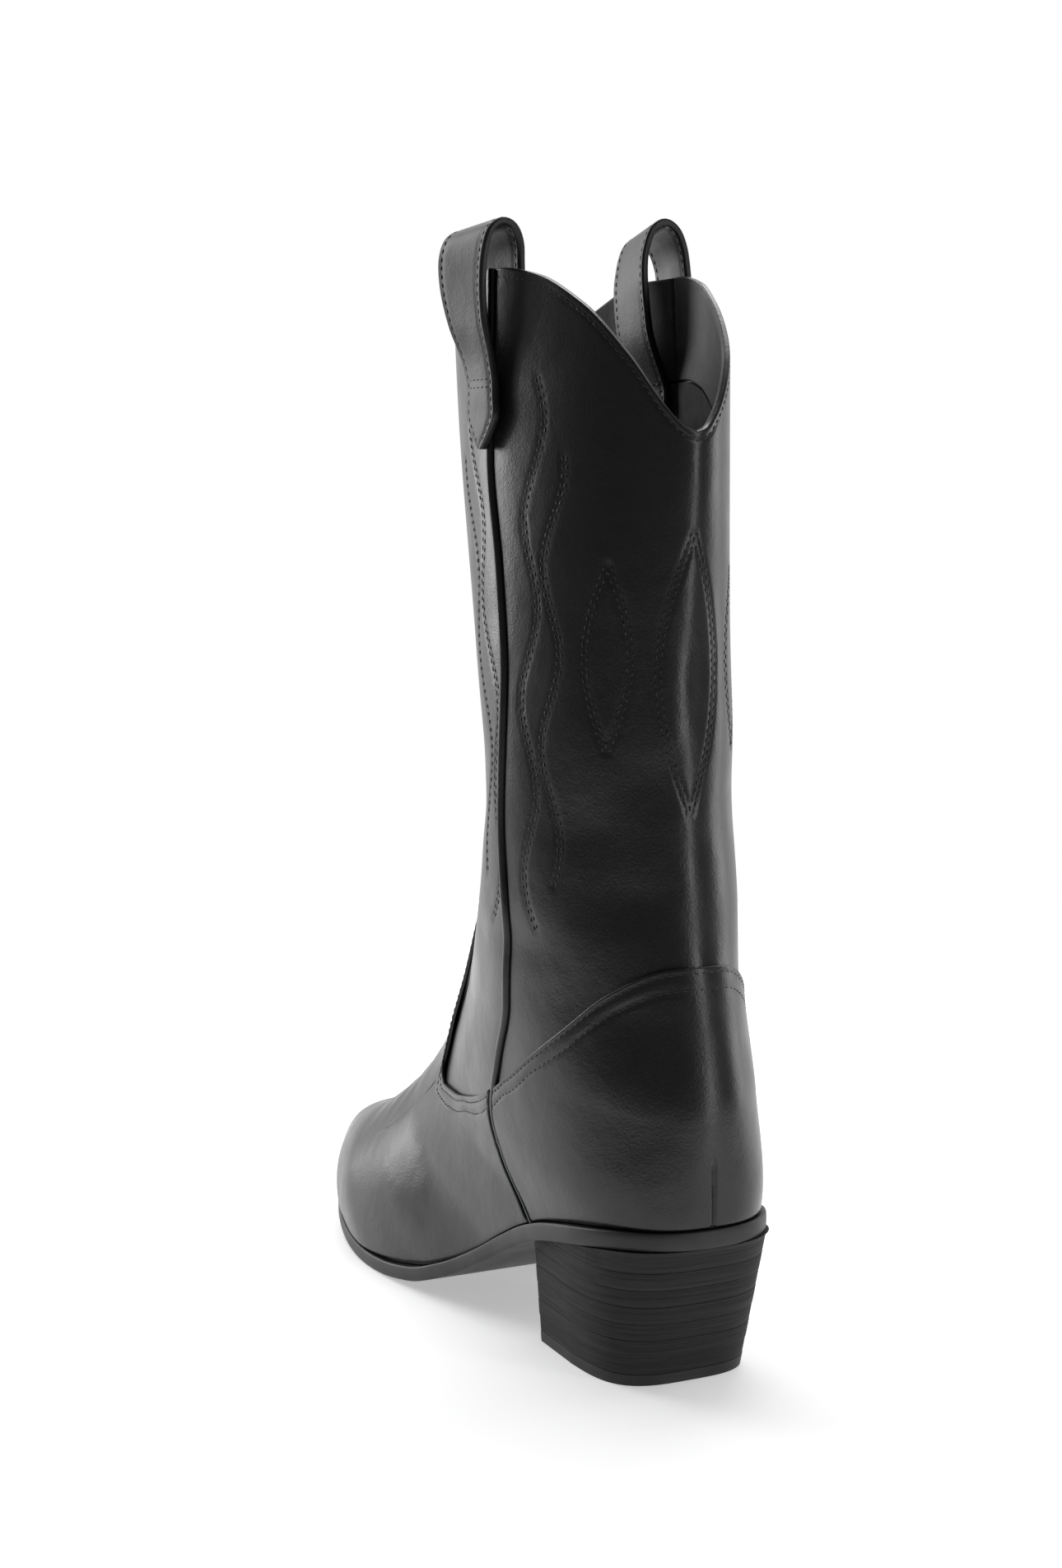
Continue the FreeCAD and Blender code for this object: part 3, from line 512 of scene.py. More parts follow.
def stitch_mesh(runs, sunk):
    """Short plump threads along each run, their ends dipping into the leather."""
    pitch = STITCH_LENGTH + STITCH_GAP
    along, plump, dip = np.array(THREAD_RINGS).T
    turns = np.linspace(0, 2 * np.pi, THREAD_SIDES, endpoint=False)[None, :, None]
    thread_faces = np.array(ring_faces(len(along), THREAD_SIDES)[:-2])
    thread_ends = np.array(ring_faces(len(along), THREAD_SIDES)[-2:])
    points, faces = [], []
    for run in runs:
        away = travelled(run[:, :3])
        count = int((away[-1] + STITCH_GAP) / pitch)
        margin = (away[-1] - count * pitch + STITCH_GAP) / 2
        for number in range(count):
            middle = margin + number * pitch + STITCH_LENGTH / 2
            at = middle + along * STITCH_LENGTH / 2
            rows = np.stack([np.interp(at, away, column) for column in run.T], axis=1)
            normal = rows[:, 3:6]
            sideways = np.cross(normal, unit(rows[-1, :3] - rows[0, :3]))
            centre = rows[:, :3] + normal * (dip[:, None] - sunk)
            round_thread = sideways[:, None] * np.cos(turns) + normal[:, None] * np.sin(turns)
            ring = centre[:, None] + round_thread * (THREAD_RADIUS * plump)[:, None, None]
            start = len(points) * len(along) * THREAD_SIDES
            points.append(ring.reshape(-1, 3))
            faces += (thread_faces + start).tolist() + (thread_ends + start).tolist()
    return np.concatenate(points), faces


def add_stitches(name, runs, sunk=GROOVE_DEPTH, body="root"):
    points, faces = stitch_mesh(runs, sunk)
    return add_piece(name, points, faces, thread_finish, (), body, THREAD_SHARP)


class Chart:
    """Finds places and angles from a distance across, from a middle angle, and a height."""

    def __init__(self, middle_angle):
        self.across = np.arange(-100.0, 101.0, 1.0)
        self.places = np.linspace(0, 0.5, 320)
        angles = middle_angle + np.linspace(-130, 130, 521)
        points = base_point(self.places[:, None], angles[None, :])
        away = np.array([travelled(row) for row in points])
        away -= away[:, [len(angles) // 2]]
        self.angle = np.array([np.interp(self.across, row, angles) for row in away])
        self.height = np.array([
            np.interp(self.across, row, line) for row, line in zip(away, points[..., 2])])

    def __call__(self, across, height):
        places, angles = [], []
        for sideways, z in zip(across, height):
            column = sideways - self.across[0]
            left = int(np.clip(column, 0, len(self.across) - 2))
            share = column - left
            heights, around = (
                table[:, left] * (1 - share) + table[:, left + 1] * share
                for table in (self.height, self.angle))
            places.append(np.interp(-z, -heights, self.places))
            angles.append(np.interp(places[-1], self.places, around))
        return np.array(places), np.array(angles)


def curve_through(points, step=0.8):
    """A smooth open curve through given points."""
    points = np.array(points, float)
    padded = np.concatenate([[2 * points[0] - points[1]], points, [2 * points[-1] - points[-2]]])
    pieces = []
    for p0, p1, p2, p3 in zip(padded, padded[1:], padded[2:], padded[3:]):
        count = max(int(np.linalg.norm(p2 - p1) / step), 2)
        t = np.linspace(0, 1, count, endpoint=False)[:, None]
        pieces.append(
            0.5 * (2 * p1 + (p2 - p0) * t + (2 * p0 - 5 * p1 + 4 * p2 - p3) * t ** 2
                   + (3 * p1 - p0 - 3 * p2 + p3) * t ** 3))
    pieces.append(points[-1:])
    return np.concatenate(pieces)


def doubled(curve, spacing=1.7):
    """Two rows of stitches on both sides of a curve in a flat chart."""
    along = np.gradient(curve, axis=0)
    sideways = unit(np.stack([-along[:, 1], along[:, 0]], axis=1))
    return [curve + sideways * spacing / 2, curve - sideways * spacing / 2]


# Fancy stitching of one half of a shaft panel: plain waves beside the seam and pointed leaves by
# the middle, as strokes of (distance across from the panel's middle, height).
WAVE_LENGTH = 60.0


def wave(across, swing, bottom, top):
    """A wavy stroke that runs up the panel."""
    height = np.linspace(bottom, top, 40)
    return np.stack([across + swing * np.sin(2 * np.pi * (height - bottom) / WAVE_LENGTH), height], axis=1)


def leaf_side(middle, half, bottom, top):
    """One edge of an upright pointed leaf; a negative half gives its other edge."""
    share = np.linspace(0, 1, 24)
    return np.stack([middle + half * np.sin(np.pi * share), bottom + (top - bottom) * share], axis=1)


BESIDE_SEAM = [wave(60, 4, 145, 325), wave(50, -4, 160, 300)]
BY_MIDDLE = [leaf_side(0, 11, 185, 275), leaf_side(28, 8, 205, 265), leaf_side(28, -8, 205, 265)]


def fancy_runs(chart, strokes, shift=0.0):
    """The strokes and their mirror images, as doubled stitch rows on a shaft panel."""
    runs = []
    for stroke in strokes:
        for side in (1, -1):
            curve = curve_through([(side * (across + shift), height) for across, height in stroke])
            for row in doubled(curve):
                runs.append(surface_run(*chart(row[:, 0], row[:, 1]), PANEL_FACES[0]))
    return runs


# ---------------------------------------------------------------- finishes


def set_inputs(node, values):
    for label, value in values.items():
        node.inputs[label].default_value = value


def grey(level, tint=0.06):
    """A grey a little cooler than neutral."""
    return (level, level * (1 + tint / 4), level * (1 + tint))


class Finish:
    """A procedural material built from noises that lie still on the object."""

    def __init__(self, name):
        self.material = bpy.data.materials.new(name)
        self.material.use_nodes = True
        self.nodes, self.links = self.material.node_tree.nodes, self.material.node_tree.links
        self.shader = self.nodes["Principled BSDF"]
        self.coords = self.nodes.new("ShaderNodeTexCoord").outputs["Object"]

    def texture(self, kind, values, source=None):
        node = self.nodes.new(kind)
        set_inputs(node, values)
        self.links.new(source or self.coords, node.inputs["Vector"])
        return node

    def noise(self, scale, detail, stretch=None):
        """A noise in metres; stretch packs it closer along some axes."""
        source = None
        if stretch:
            source = self.texture("ShaderNodeMapping", {"Scale": stretch}).outputs["Vector"]
        return self.texture("ShaderNodeTexNoise", {"Scale": scale, "Detail": detail}, source).outputs["Fac"]

    def colour(self, source, stops, tint=0.06):
        """The base colour: greys at (position, level) stops."""
        node = self.nodes.new("ShaderNodeValToRGB")
        while len(node.color_ramp.elements) < len(stops):
            node.color_ramp.elements.new(0.5)
        for element, (position, level) in zip(node.color_ramp.elements, stops):
            element.position = position
            element.color = (*grey(level, tint), 1.0)
        self.links.new(source, node.inputs["Fac"])
        self.links.new(node.outputs["Color"], self.shader.inputs["Base Color"])

    def roughness(self, source, low, high):
        node = self.nodes.new("ShaderNodeMapRange")
        set_inputs(node, {"From Min": 0.3, "From Max": 0.7, "To Min": low, "To Max": high})
        self.links.new(source, node.inputs["Value"])
        self.links.new(node.outputs["Result"], self.shader.inputs["Roughness"])

    def bumps(self, *layers):
        """Bump layers of (height, depth in metres, strength), one on the other."""
        normal = None
        for height, depth, strength in layers:
            bump = self.nodes.new("ShaderNodeBump")
            set_inputs(bump, {"Distance": depth, "Strength": strength})
            self.links.new(height, bump.inputs["Height"])
            if normal is not None:
                self.links.new(normal, bump.inputs["Normal"])
            normal = bump.outputs["Normal"]
        self.links.new(normal, self.shader.inputs["Normal"])


PORE_SIZE = 0.0009
PORE_DEPTH = 0.00006


def leather_finish(name, level, rough):
    """Smooth finished leather: pores, faint mottling, rubbed patches and uneven gloss."""
    finish = Finish(name)
    pores = finish.texture("ShaderNodeTexVoronoi", {"Scale": 1 / PORE_SIZE}).outputs["Distance"]
    mottle, fine, waves = finish.noise(55.0, 6.0), finish.noise(900.0, 3.0), finish.noise(75.0, 2.0)
    finish.colour(mottle, ((0.3, level * 0.75), (0.52, level), (0.74, level * 1.5)))
    finish.roughness(mottle, rough + 0.05, rough - 0.04)
    finish.bumps((pores, PORE_DEPTH, 0.5), (fine, PORE_DEPTH * 1.6, 0.45), (waves, 0.0012, 0.25))
    return finish.material


def rubber_finish(name, level, rough):
    """Moulded rubber: matt, with fine speckle."""
    finish = Finish(name)
    speckle, clouds = finish.noise(1400.0, 2.0), finish.noise(60.0, 5.0)
    finish.colour(clouds, ((0.3, level * 0.8), (0.7, level * 1.3)), 0.0)
    finish.roughness(clouds, rough + 0.06, rough - 0.05)
    finish.bumps((speckle, 0.00008, 0.5))
    return finish.material


def stacked_finish(name, level, rough):
    """Leather board lifts on edge: fibres and layers lying level, sanded and stained."""
    finish = Finish(name)
    layers = finish.noise(40.0, 5.0, (0.35, 0.35, 24.0))
    fibres = finish.noise(160.0, 3.0, (0.25, 0.25, 9.0))
    finish.colour(layers, ((0.34, level * 0.55), (0.5, level), (0.66, level * 1.9)), -0.05)
    finish.roughness(fibres, rough - 0.06, rough + 0.08)
    finish.bumps((layers, 0.0004, 0.6), (fibres, 0.0002, 0.5))
    return finish.material


def cloth_finish(name, level, rough, thread=0.0007):
    """A close woven or brushed lining."""
    finish = Finish(name)
    woven = {"Scale": 1 / (thread * 6), "Distortion": 2.0}
    weave = finish.texture("ShaderNodeTexWave", woven).outputs["Fac"]
    clouds = finish.noise(120.0, 5.0)
    finish.colour(clouds, ((0.3, level * 0.75), (0.7, level * 1.3)))
    finish.roughness(clouds, rough + 0.05, rough - 0.05)
    finish.bumps((weave, 0.0002, 0.5), (clouds, 0.0004, 0.3))
    return finish.material


def metal_finish(name, level, rough):
    finish = Finish(name)
    brushed = finish.noise(300.0, 3.0, (1.0, 1.0, 12.0))
    finish.colour(brushed, ((0.3, level * 0.8), (0.7, level * 1.1)))
    finish.roughness(brushed, rough + 0.1, rough - 0.05)
    set_inputs(finish.shader, {"Metallic": 1.0})
    finish.bumps((brushed, 0.0001, 0.3))
    return finish.material


upper_finish = leather_finish("black_upper_leather", 0.0085, 0.31)
piping_finish = leather_finish("black_piping_leather", 0.006, 0.32)
strap_finish = leather_finish("black_strap_leather", 0.007, 0.45)
facing_finish = leather_finish("grey_facing_leather", 0.034, 0.55)
lining_finish = cloth_finish("dark_shaft_lining", 0.022, 0.75)
sock_finish = leather_finish("dark_sock_leather", 0.03, 0.6)
backer_finish = cloth_finish("backer_cloth", 0.35, 0.85)
board_finish = stacked_finish("stiffener_board", 0.25, 0.8)
cork_finish = rubber_finish("ground_cork", 0.2, 0.85)
outsole_finish = rubber_finish("black_outsole_rubber", 0.011, 0.5)
top_lift_finish = rubber_finish("black_top_lift_rubber", 0.008, 0.6)
stack_finish = stacked_finish("black_stacked_heel", 0.006, 0.8)
steel_finish = metal_finish("steel", 0.5, 0.35)
thread_finish = cloth_finish("black_waxed_thread", 0.006, 0.42, 0.0002)

# ---------------------------------------------------------------- the leather upper

# mesh steps of the pieces that are coarser or finer than the panels, and the piping's round
FACING_STEP = 2.5
LINING_STEP = 3.0
BEAD_STEP = 1.2
BEAD_SIDE_FACE = 0.1
BEAD_CROWN = 1.4
RIM_STITCH_INSET = 3.0
TONGUE_LIFT = 2.0
TONGUE_LIFT_REACH = 11.0
# the centre-back dart of the counter: half width, depth, and height of its upper end
DART_WIDTH = 0.7
DART_DEPTH = 0.7
DART_TOP = 77.0

beside_piping = PIPING_HALF_WIDTH + SEAM_GAP
front_outside, back_outside = front_sides(beside_piping), back_sides(beside_piping)
front_inside, back_inside = front_sides(SEAM_GAP), back_sides(SEAM_GAP)
into_sole = over_sole(-SEAM_GAP)

vamp = Panel(front_outside, over_vamp_edge(), never_reached, TOE_PLACE)
counter = Panel(back_outside, over_counter_edge(), into_sole, HEEL_PLACE, fine_middle=True)
shaft_front = Panel(front_outside, over_top_line(), over_vamp_edge(OVERLAY_LAP), HEEL_PLACE)
shaft_back = Panel(back_outside, over_top_line(), over_counter_edge(OVERLAY_LAP), HEEL_PLACE)


def tongue_lift(angle, from_rim):
    """How far the tongue of the vamp stands off the shaft near its rim."""
    near_front = np.clip(1.4 - from_front(angle) / 34, 0, 1) ** 0.7
    return TONGUE_LIFT * near_front * np.exp(-(from_rim / TONGUE_LIFT_REACH) ** 1.4)


def rim_runs(panel, insets, face, lifted=False):
    """Runs of stitches parallel to a panel's upper edge."""
    runs = []
    for inset in insets:
        place, angle = panel.along_top(inset)
        runs.append(surface_run(place, angle, face + tongue_lift(angle, inset) if lifted else face))
    return runs


vamp_runs = rim_runs(vamp, (2.2, 6.2), OVERLAY_FACES[0], lifted=True)
counter_runs = rim_runs(counter, (2.0, 7.2), OVERLAY_FACES[0])
back_chart, front_chart = Chart(180.0), Chart(0.0)
back_runs = fancy_runs(back_chart, BESIDE_SEAM + BY_MIDDLE)
front_runs = fancy_runs(front_chart, BESIDE_SEAM, shift=10.0) + fancy_runs(front_chart, BY_MIDDLE)
top_back_runs = rim_runs(shaft_back, (RIM_STITCH_INSET,), PANEL_FACES[0])
top_front_runs = rim_runs(shaft_front, (RIM_STITCH_INSET,), PANEL_FACES[0])


def stitched(panel, face, runs):
    return face - groove(boot_point(panel.place, panel.angle, face), runs)


lift = tongue_lift(vamp.angle, vamp.from_top)
vamp_face = vamp.tucked(vamp.rounded(OVERLAY_FACES[0])) + lift
vamp_face = stitched(vamp, vamp_face, vamp_runs)
add_shell(
    "vamp_leather", vamp, vamp_face, OVERLAY_FACES[1] + lift * 0.9, upper_finish, "upper_leather", ["vamp"])

dart = np.exp(-(counter.points[..., 0] / DART_WIDTH) ** 2)
dart *= np.clip((DART_TOP - counter.points[..., 2]) / 3, 0, 1) * (counter.points[..., 1] > 100)
counter_face = counter.tucked(counter.rounded(OVERLAY_FACES[0])) - DART_DEPTH * dart
counter_face = stitched(counter, counter_face, counter_runs)
add_shell(
    "counter_leather", counter, counter_face, OVERLAY_FACES[1], upper_finish, "upper_leather",
    ["heel_counter"])

for name, panel, runs in (
        ("shaft_front", shaft_front, front_runs + top_front_runs),
        ("shaft_back", shaft_back, back_runs + top_back_runs)):
    face = stitched(panel, panel.rounded(PANEL_FACES[0]), runs)
    add_shell(name + "_leather", panel, face, PANEL_FACES[1], upper_finish, "upper_leather", [name])

for name, sides, bottom in (
        ("front", front_inside, over_vamp_edge(OVERLAY_LAP)),
        ("back", back_inside, over_counter_edge(OVERLAY_LAP))):
    facing = Panel(sides, over_top_line(), over_top_line(FACING_DEPTH), HEEL_PLACE, FACING_STEP)
    inner = 2 * LINING_FACES[0] - facing.rounded(LINING_FACES[0]) - (LINING_FACES[0] - LINING_FACES[1])
    add_shell(
        "facing_" + name, facing, LINING_FACES[0], inner, facing_finish, "facing_leather",
        ["top_facing_" + name])
    lining = Panel(sides, over_top_line(FACING_DEPTH + SEAM_GAP), bottom, HEEL_PLACE, LINING_STEP)
    add_shell(
        "lining_" + name, lining, *LINING_FACES, lining_finish, "lining_leather", ["shaft_lining_" + name])
for name, sides, over_edge, bottom, last_place in (
        ("vamp", front_inside, over_vamp_edge, never_reached, TOE_PLACE),
        ("heel", back_inside, over_counter_edge, into_sole, HEEL_PLACE)):
    lining = Panel(sides, over_edge(OVERLAY_LAP + SEAM_GAP), bottom, last_place, LINING_STEP)
    add_shell(
        "lining_" + name, lining, *LINING_FACES, lining_finish, "lining_leather", [name + "_lining"])

for name, runs in (
        ("vamp", vamp_runs), ("counter", counter_runs), ("shaft_back", back_runs + top_back_runs),
        ("shaft_front", front_runs + top_front_runs)):
    add_stitches("stitching_" + name, runs)

for side, side_name in ((1, "outer"), (-1, "inner")):
    limits = [side * seam_table(side, shift) for shift in (PIPING_HALF_WIDTH, -PIPING_HALF_WIDTH)]
    bead = Panel(between_tables(*limits), over_top_line(), into_sole, HEEL_PLACE, BEAD_STEP)
    across = np.clip(bead.from_left / (bead.from_left + bead.from_right + 1e-9) * 2 - 1, -1, 1)
    bead_face = BEAD_SIDE_FACE + BEAD_CROWN * np.sqrt(np.clip(1 - across ** 2, 0, 1))
    add_shell(
        "seam_piping_" + side_name, bead, bead_face, PANEL_FACES[1], piping_finish, "piping_leather",
        ["side_piping_" + side_name])

# ---------------------------------------------------------------- pull straps

STRAP_THICKNESS = 2.6
STRAP_STEP = 1.3
STRAP_THREAD_INSET = 2.2
STRAP_THREAD_SUNK = 0.12
STRAP_CREASE = 0.34
STRAP_EDGE_ROUND = 0.9
STRAP_CROSS_STITCHES = (322.4, 325.4)
# the height from which the strap leaves the boot
STRAP_SEWN_TO = 324.0

# Each strap over its side of the boot, from the outer tab's point to the inner tab's point: the
# middle line as (distance out, height), the turn and dip of the free arch, and the middle setback
# along the line, as a share of its length
STRAPS = {
    "outer": {
        "side": 1, "lean": 0.16, "dip": 0.10,
        "line": (
            (41.0, 302.0), (41.0, 308.0), (41.2, 315.0), (41.4, 321.0), (41.8, 326.0), (42.6, 333.0),
            (44.6, 343.0), (45.8, 352.0), (46.0, 360.0), (45.3, 366.5), (43.4, 371.6), (39.6, 374.3),
            (35.2, 373.2), (32.2, 368.6), (30.9, 361.0), (30.2, 352.0), (29.9, 343.0), (30.2, 334.0),
            (31.0, 326.0), (31.4, 320.0), (31.6, 312.0), (31.6, 304.0)),
        "setback": ((0.0, 83.5), (0.16, 85.0), (0.4, 88.0), (0.5, 88.5), (0.62, 90.5), (1.0, 90.0)),
    },
    "inner": {
        "side": -1, "lean": -0.14, "dip": 0.16,
        "line": (
            (40.0, 302.0), (40.0, 308.0), (40.2, 315.0), (40.4, 321.0), (40.6, 326.0), (40.9, 333.0),
            (40.9, 343.0), (40.6, 352.0), (40.2, 360.0), (39.4, 368.0), (36.6, 374.8), (31.8, 377.6),
            (27.2, 375.0), (24.6, 368.0), (23.8, 360.0), (24.4, 351.0), (25.4, 343.0), (27.2, 334.0),
            (29.4, 326.0), (30.6, 320.0), (31.0, 312.0), (31.0, 304.0)),
        "setback": ((0.0, 94.0), (0.16, 96.0), (0.4, 98.5), (0.6, 99.5), (0.86, 99.0), (1.0, 97.0)),
    },
}
# half width along the line, by share of its length
STRAP_HALF_WIDTH = SmoothLine((
    (0, 1.2), (0.02, 4.4), (0.045, 7.6), (0.08, 10.4), (0.125, 10.0), (0.17, 10.2), (0.26, 11.6),
    (0.38, 13.0), (0.5, 13.4), (0.62, 13.0), (0.74, 12.0), (0.85, 10.8), (0.9, 10.4), (0.94, 8.0),
    (0.98, 4.0), (1.0, 1.2)))
# columns across a strap, closer near its edges
STRAP_SHARES = np.concatenate([[-1, -0.985, -0.95], np.linspace(-0.9, 0.9, 19), [0.95, 0.985, 1]])
# how far the sewn ends stand off the boot's base surface, outside and inside
OUTER_TAB_FACE = 3.3
INNER_TAB_FACE = -4.3


def surface_x(side, setback, height, face):
    """How far out the boot's side lies at a setback and height."""
    places = np.linspace(0, 0.3, 200)
    place = np.interp(-height, -base_point(places, 90)[..., 2], places)
    def ahead(angle):
        return setback_of(base_point(place, side * angle)) - setback
    angle = crossing(ahead, np.full_like(place, 5.0), 175.0)
    return boot_point(place, side * angle, face)[..., 0]


class Strap:
    """A folded leather band from the point of its outer tab, over the top, to its inner tab."""

    def __init__(self, plan):
        self.side, self.lean, self.dip = plan["side"], plan["lean"], plan["dip"]
        line = curve_through(plan["line"], 1.0)
        away = travelled(line)
        share = spaced(away[-1], STRAP_STEP)
        self.x = np.interp(share * away[-1], away, line[:, 0])
        self.z = np.interp(share * away[-1], away, line[:, 1])
        self.half = STRAP_HALF_WIDTH(share)
        self.setback = SmoothLine(plan["setback"])(share)
        self.on_outer_leg = share < 0.5
        tangent = unit(np.stack([np.gradient(self.x, share), np.gradient(self.z, share)], axis=1))
        self.out = np.stack([tangent[:, 1], -tangent[:, 0]], axis=1)

    def surface(self, level):
        """A grid of points: level +1 is the strap's outer face, -1 its inner face."""
        across = self.half[:, None] * STRAP_SHARES
        from_side = self.half[:, None] - np.abs(across)
        crease = STRAP_CREASE * np.exp(-((from_side - STRAP_THREAD_INSET) / 0.7) ** 2)
        edge = np.clip(1 - from_side / STRAP_EDGE_ROUND, 0, 1)
        thick = level * (STRAP_THICKNESS / 2 - crease - 0.75 * (1 - np.sqrt(1 - edge ** 2)))
        free = np.clip((self.z - STRAP_SEWN_TO - 2) / 40, 0, 1)[:, None] ** 1.3
        setback = self.setback[:, None] + across
        x = self.side * (self.x[:, None] + self.out[:, :1] * thick) + self.lean * free * across
        z = self.z[:, None] + self.out[:, 1:] * thick - self.dip * free * across
        held = (1 - np.clip((self.z - STRAP_SEWN_TO) / 20, 0, 1))[:, None] ** 2
        face = np.where(self.on_outer_leg, OUTER_TAB_FACE, INNER_TAB_FACE)[:, None]
        face = face + np.where(self.on_outer_leg, 1, -1)[:, None] * thick
        sewn = np.stack([
            surface_x(self.side, setback[:, column], self.z, face[:, column])
            for column in range(len(STRAP_SHARES))], axis=1)
        return np.stack([x * (1 - held) + sewn * held, y_at(setback), z], axis=-1)

    def runs(self, level):
        """Stitches beside the long edges, and two rows across where the strap is sewn down."""
        grid = self.surface(level)
        normal = unit(np.cross(np.gradient(grid, axis=0), np.gradient(grid, axis=1)))
        both = np.concatenate([grid, normal * self.side * level], axis=2)
        rows = np.arange(len(self.z))[self.half > 3.6]
        runs = []
        for edge in (1, -1):
            share = edge * (1 - STRAP_THREAD_INSET / self.half[rows])
            column = np.interp(share, STRAP_SHARES, np.arange(len(STRAP_SHARES)))
            low = np.clip(column.astype(int), 0, len(STRAP_SHARES) - 2)
            part = (column - low)[:, None]
            runs.append(resampled(both[rows, low] * (1 - part) + both[rows, low + 1] * part))
        inside = np.abs(STRAP_SHARES) < 0.86
        for height in STRAP_CROSS_STITCHES:
            for leg in (self.on_outer_leg, ~self.on_outer_leg):
                row = np.where(leg, np.abs(self.z - height), np.inf).argmin()
                runs.append(resampled(both[row, inside]))
        return runs


for side_name, plan in STRAPS.items():
    strap = Strap(plan)
    points, faces = shell_mesh(strap.surface(1), strap.surface(-1))
    nodes = ["pull_strap_arch_" + side_name]
    nodes += ["pull_strap_%s_%s_leg" % (side_name, leg) for leg in ("outer", "inner")]
    band = add_piece("pull_strap_" + side_name, points, faces, strap_finish, nodes, None)
    runs = strap.runs(1) + strap.runs(-1)
    thread = add_stitches("strap_stitching_" + side_name, runs, STRAP_THREAD_SUNK, None)
    for piece in (band, thread):
        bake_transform(piece)

# ---------------------------------------------------------------- outsole and heel


OUTSOLE_POINTS = 170
OUTSOLE_BRIDGE = 16


def outsole_sides(count):
    """The outsole's edge as two matching rows of points, heel to toe, on the outer and inner sides."""
    loop = [(0.0, 0.0)] + [(s, x) for s, x in OUTSOLE_OUTER_SIDE] + [(OUTSOLE_LENGTH, 0.0)]
    loop += [(s, -x) for s, x in OUTSOLE_INNER_SIDE[::-1]]
    points = np.array(loop)
    closed = np.concatenate([points[-3:], points, points[:4]])
    curve = curve_through(closed, 0.7)
    back = np.where((np.abs(curve[:, 0]) < 6) & (np.diff(np.sign(curve[:, 1]), append=0) > 0))[0]
    tip = curve[:, 0].argmax()
    start = back[back < tip][-1]
    end = back[back > tip][0]
    sides = []
    for half in (curve[start:tip + 1], curve[tip:end + 2][::-1]):
        away = travelled(half)
        at = (1 - np.cos(np.linspace(0, np.pi, count))) / 2 * 0.35 + np.linspace(0, 1, count) * 0.65
        sides.append(np.stack([np.interp(at * away[-1], away, column) for column in half.T], axis=1))
    sides[0][0, 1] = sides[1][0, 1] = 0.0
    sides[0][-1, 1] = sides[1][-1, 1] = 0.0
    return sides


def loop_inset(loop, inset):
    """A closed plan outline moved inwards."""
    along = unit(np.roll(loop, -1, axis=0) - np.roll(loop, 1, axis=0))
    inwards = np.stack([-along[:, 1], along[:, 0]], axis=1)
    area = 0.5 * np.sum(loop[:, 0] * np.roll(loop[:, 1], -1) - np.roll(loop[:, 0], -1) * loop[:, 1])
    return loop + inwards * inset * np.sign(area)


# the outsole's edge from top to bottom: inset, share of the way down, and extra height
OUTSOLE_PROFILE = (
    (2.6, 0.0, 0.0), (1.9, 0.0, -0.25), (1.5, 0.0, 0.0), (0.55, 0.0, 0.0), (0.2, 0.0, -0.15),
    (0.0, 0.0, -0.6), (-0.12, 0.35, 0.0), (-0.1, 0.65, 0.0), (0.1, 1.0, 0.6), (0.35, 1.0, 0.2),
    (0.9, 1.0, 0.0), (2.6, 1.0, 0.0),
)


def add_outsole():
    outer_side, inner_side = outsole_sides(OUTSOLE_POINTS)
    loop = np.concatenate([outer_side, inner_side[-2:0:-1]])
    count = len(outer_side)
    total = len(loop)
    rings = []
    for inset, down, rise in OUTSOLE_PROFILE:
        plan = loop_inset(loop, inset)
        if inset > 0:
            plan[:, 0] = np.clip(plan[:, 0], inset * 0.9, OUTSOLE_LENGTH - inset * 1.1)
        top, bottom = outsole_top(plan[:, 0]), outsole_bottom(plan[:, 0])
        height = top + (bottom - top) * down + rise
        rings.append(np.stack([plan[:, 1], y_at(plan[:, 0]), height], axis=1))
    faces = ring_faces(len(rings), total, capped=False)
    points = list(rings)
    start = len(rings) * total
    for ring_number, line in ((0, outsole_top), (len(rings) - 1, outsole_bottom)):
        ring = rings[ring_number]
        outer = np.arange(0, count)
        inner = np.concatenate([[0], np.arange(total - 1, count - 1, -1), [count - 1]])[:count]
        share = np.linspace(0, 1, OUTSOLE_BRIDGE + 1)[None, 1:-1, None]
        inside = ring[outer][:, None] * (1 - share) + ring[inner][:, None] * share
        inside[..., 2] = line(setback_of(inside))
        points.append(inside.reshape(-1, 3))
        index = np.concatenate([
            (ring_number * total + outer)[:, None],
            start + np.arange(count * (OUTSOLE_BRIDGE - 1)).reshape(count, OUTSOLE_BRIDGE - 1),
            (ring_number * total + inner)[:, None]], axis=1)
        for quad in grid_faces(index):
            cleaned = list(dict.fromkeys(quad))
            if len(cleaned) > 2:
                faces.append(cleaned)
        start += count * (OUTSOLE_BRIDGE - 1)
    add_piece(
        "outsole_edge", np.concatenate(points), faces, outsole_finish, ["outsole"],
        sharp=60.0)


add_outsole()

HEEL_HEIGHT = 52.0
TOP_LIFT_HEIGHT = 4.0
LIFT_HEIGHT = 6.0
# setback of the rear, length, half width and roundness of the back, at the ground and at the seat
HEEL_BOTTOM = (14.0, 57.0, 27.3, 3.4)
HEEL_TOP = (0.8, 66.0, 33.6, 2.7)
# how much each lift stands out or in, as sanded board does
LIFT_PROUD = (0.0, -0.12, 0.03, -0.06, 0.05, -0.04, 0.03, -0.02)


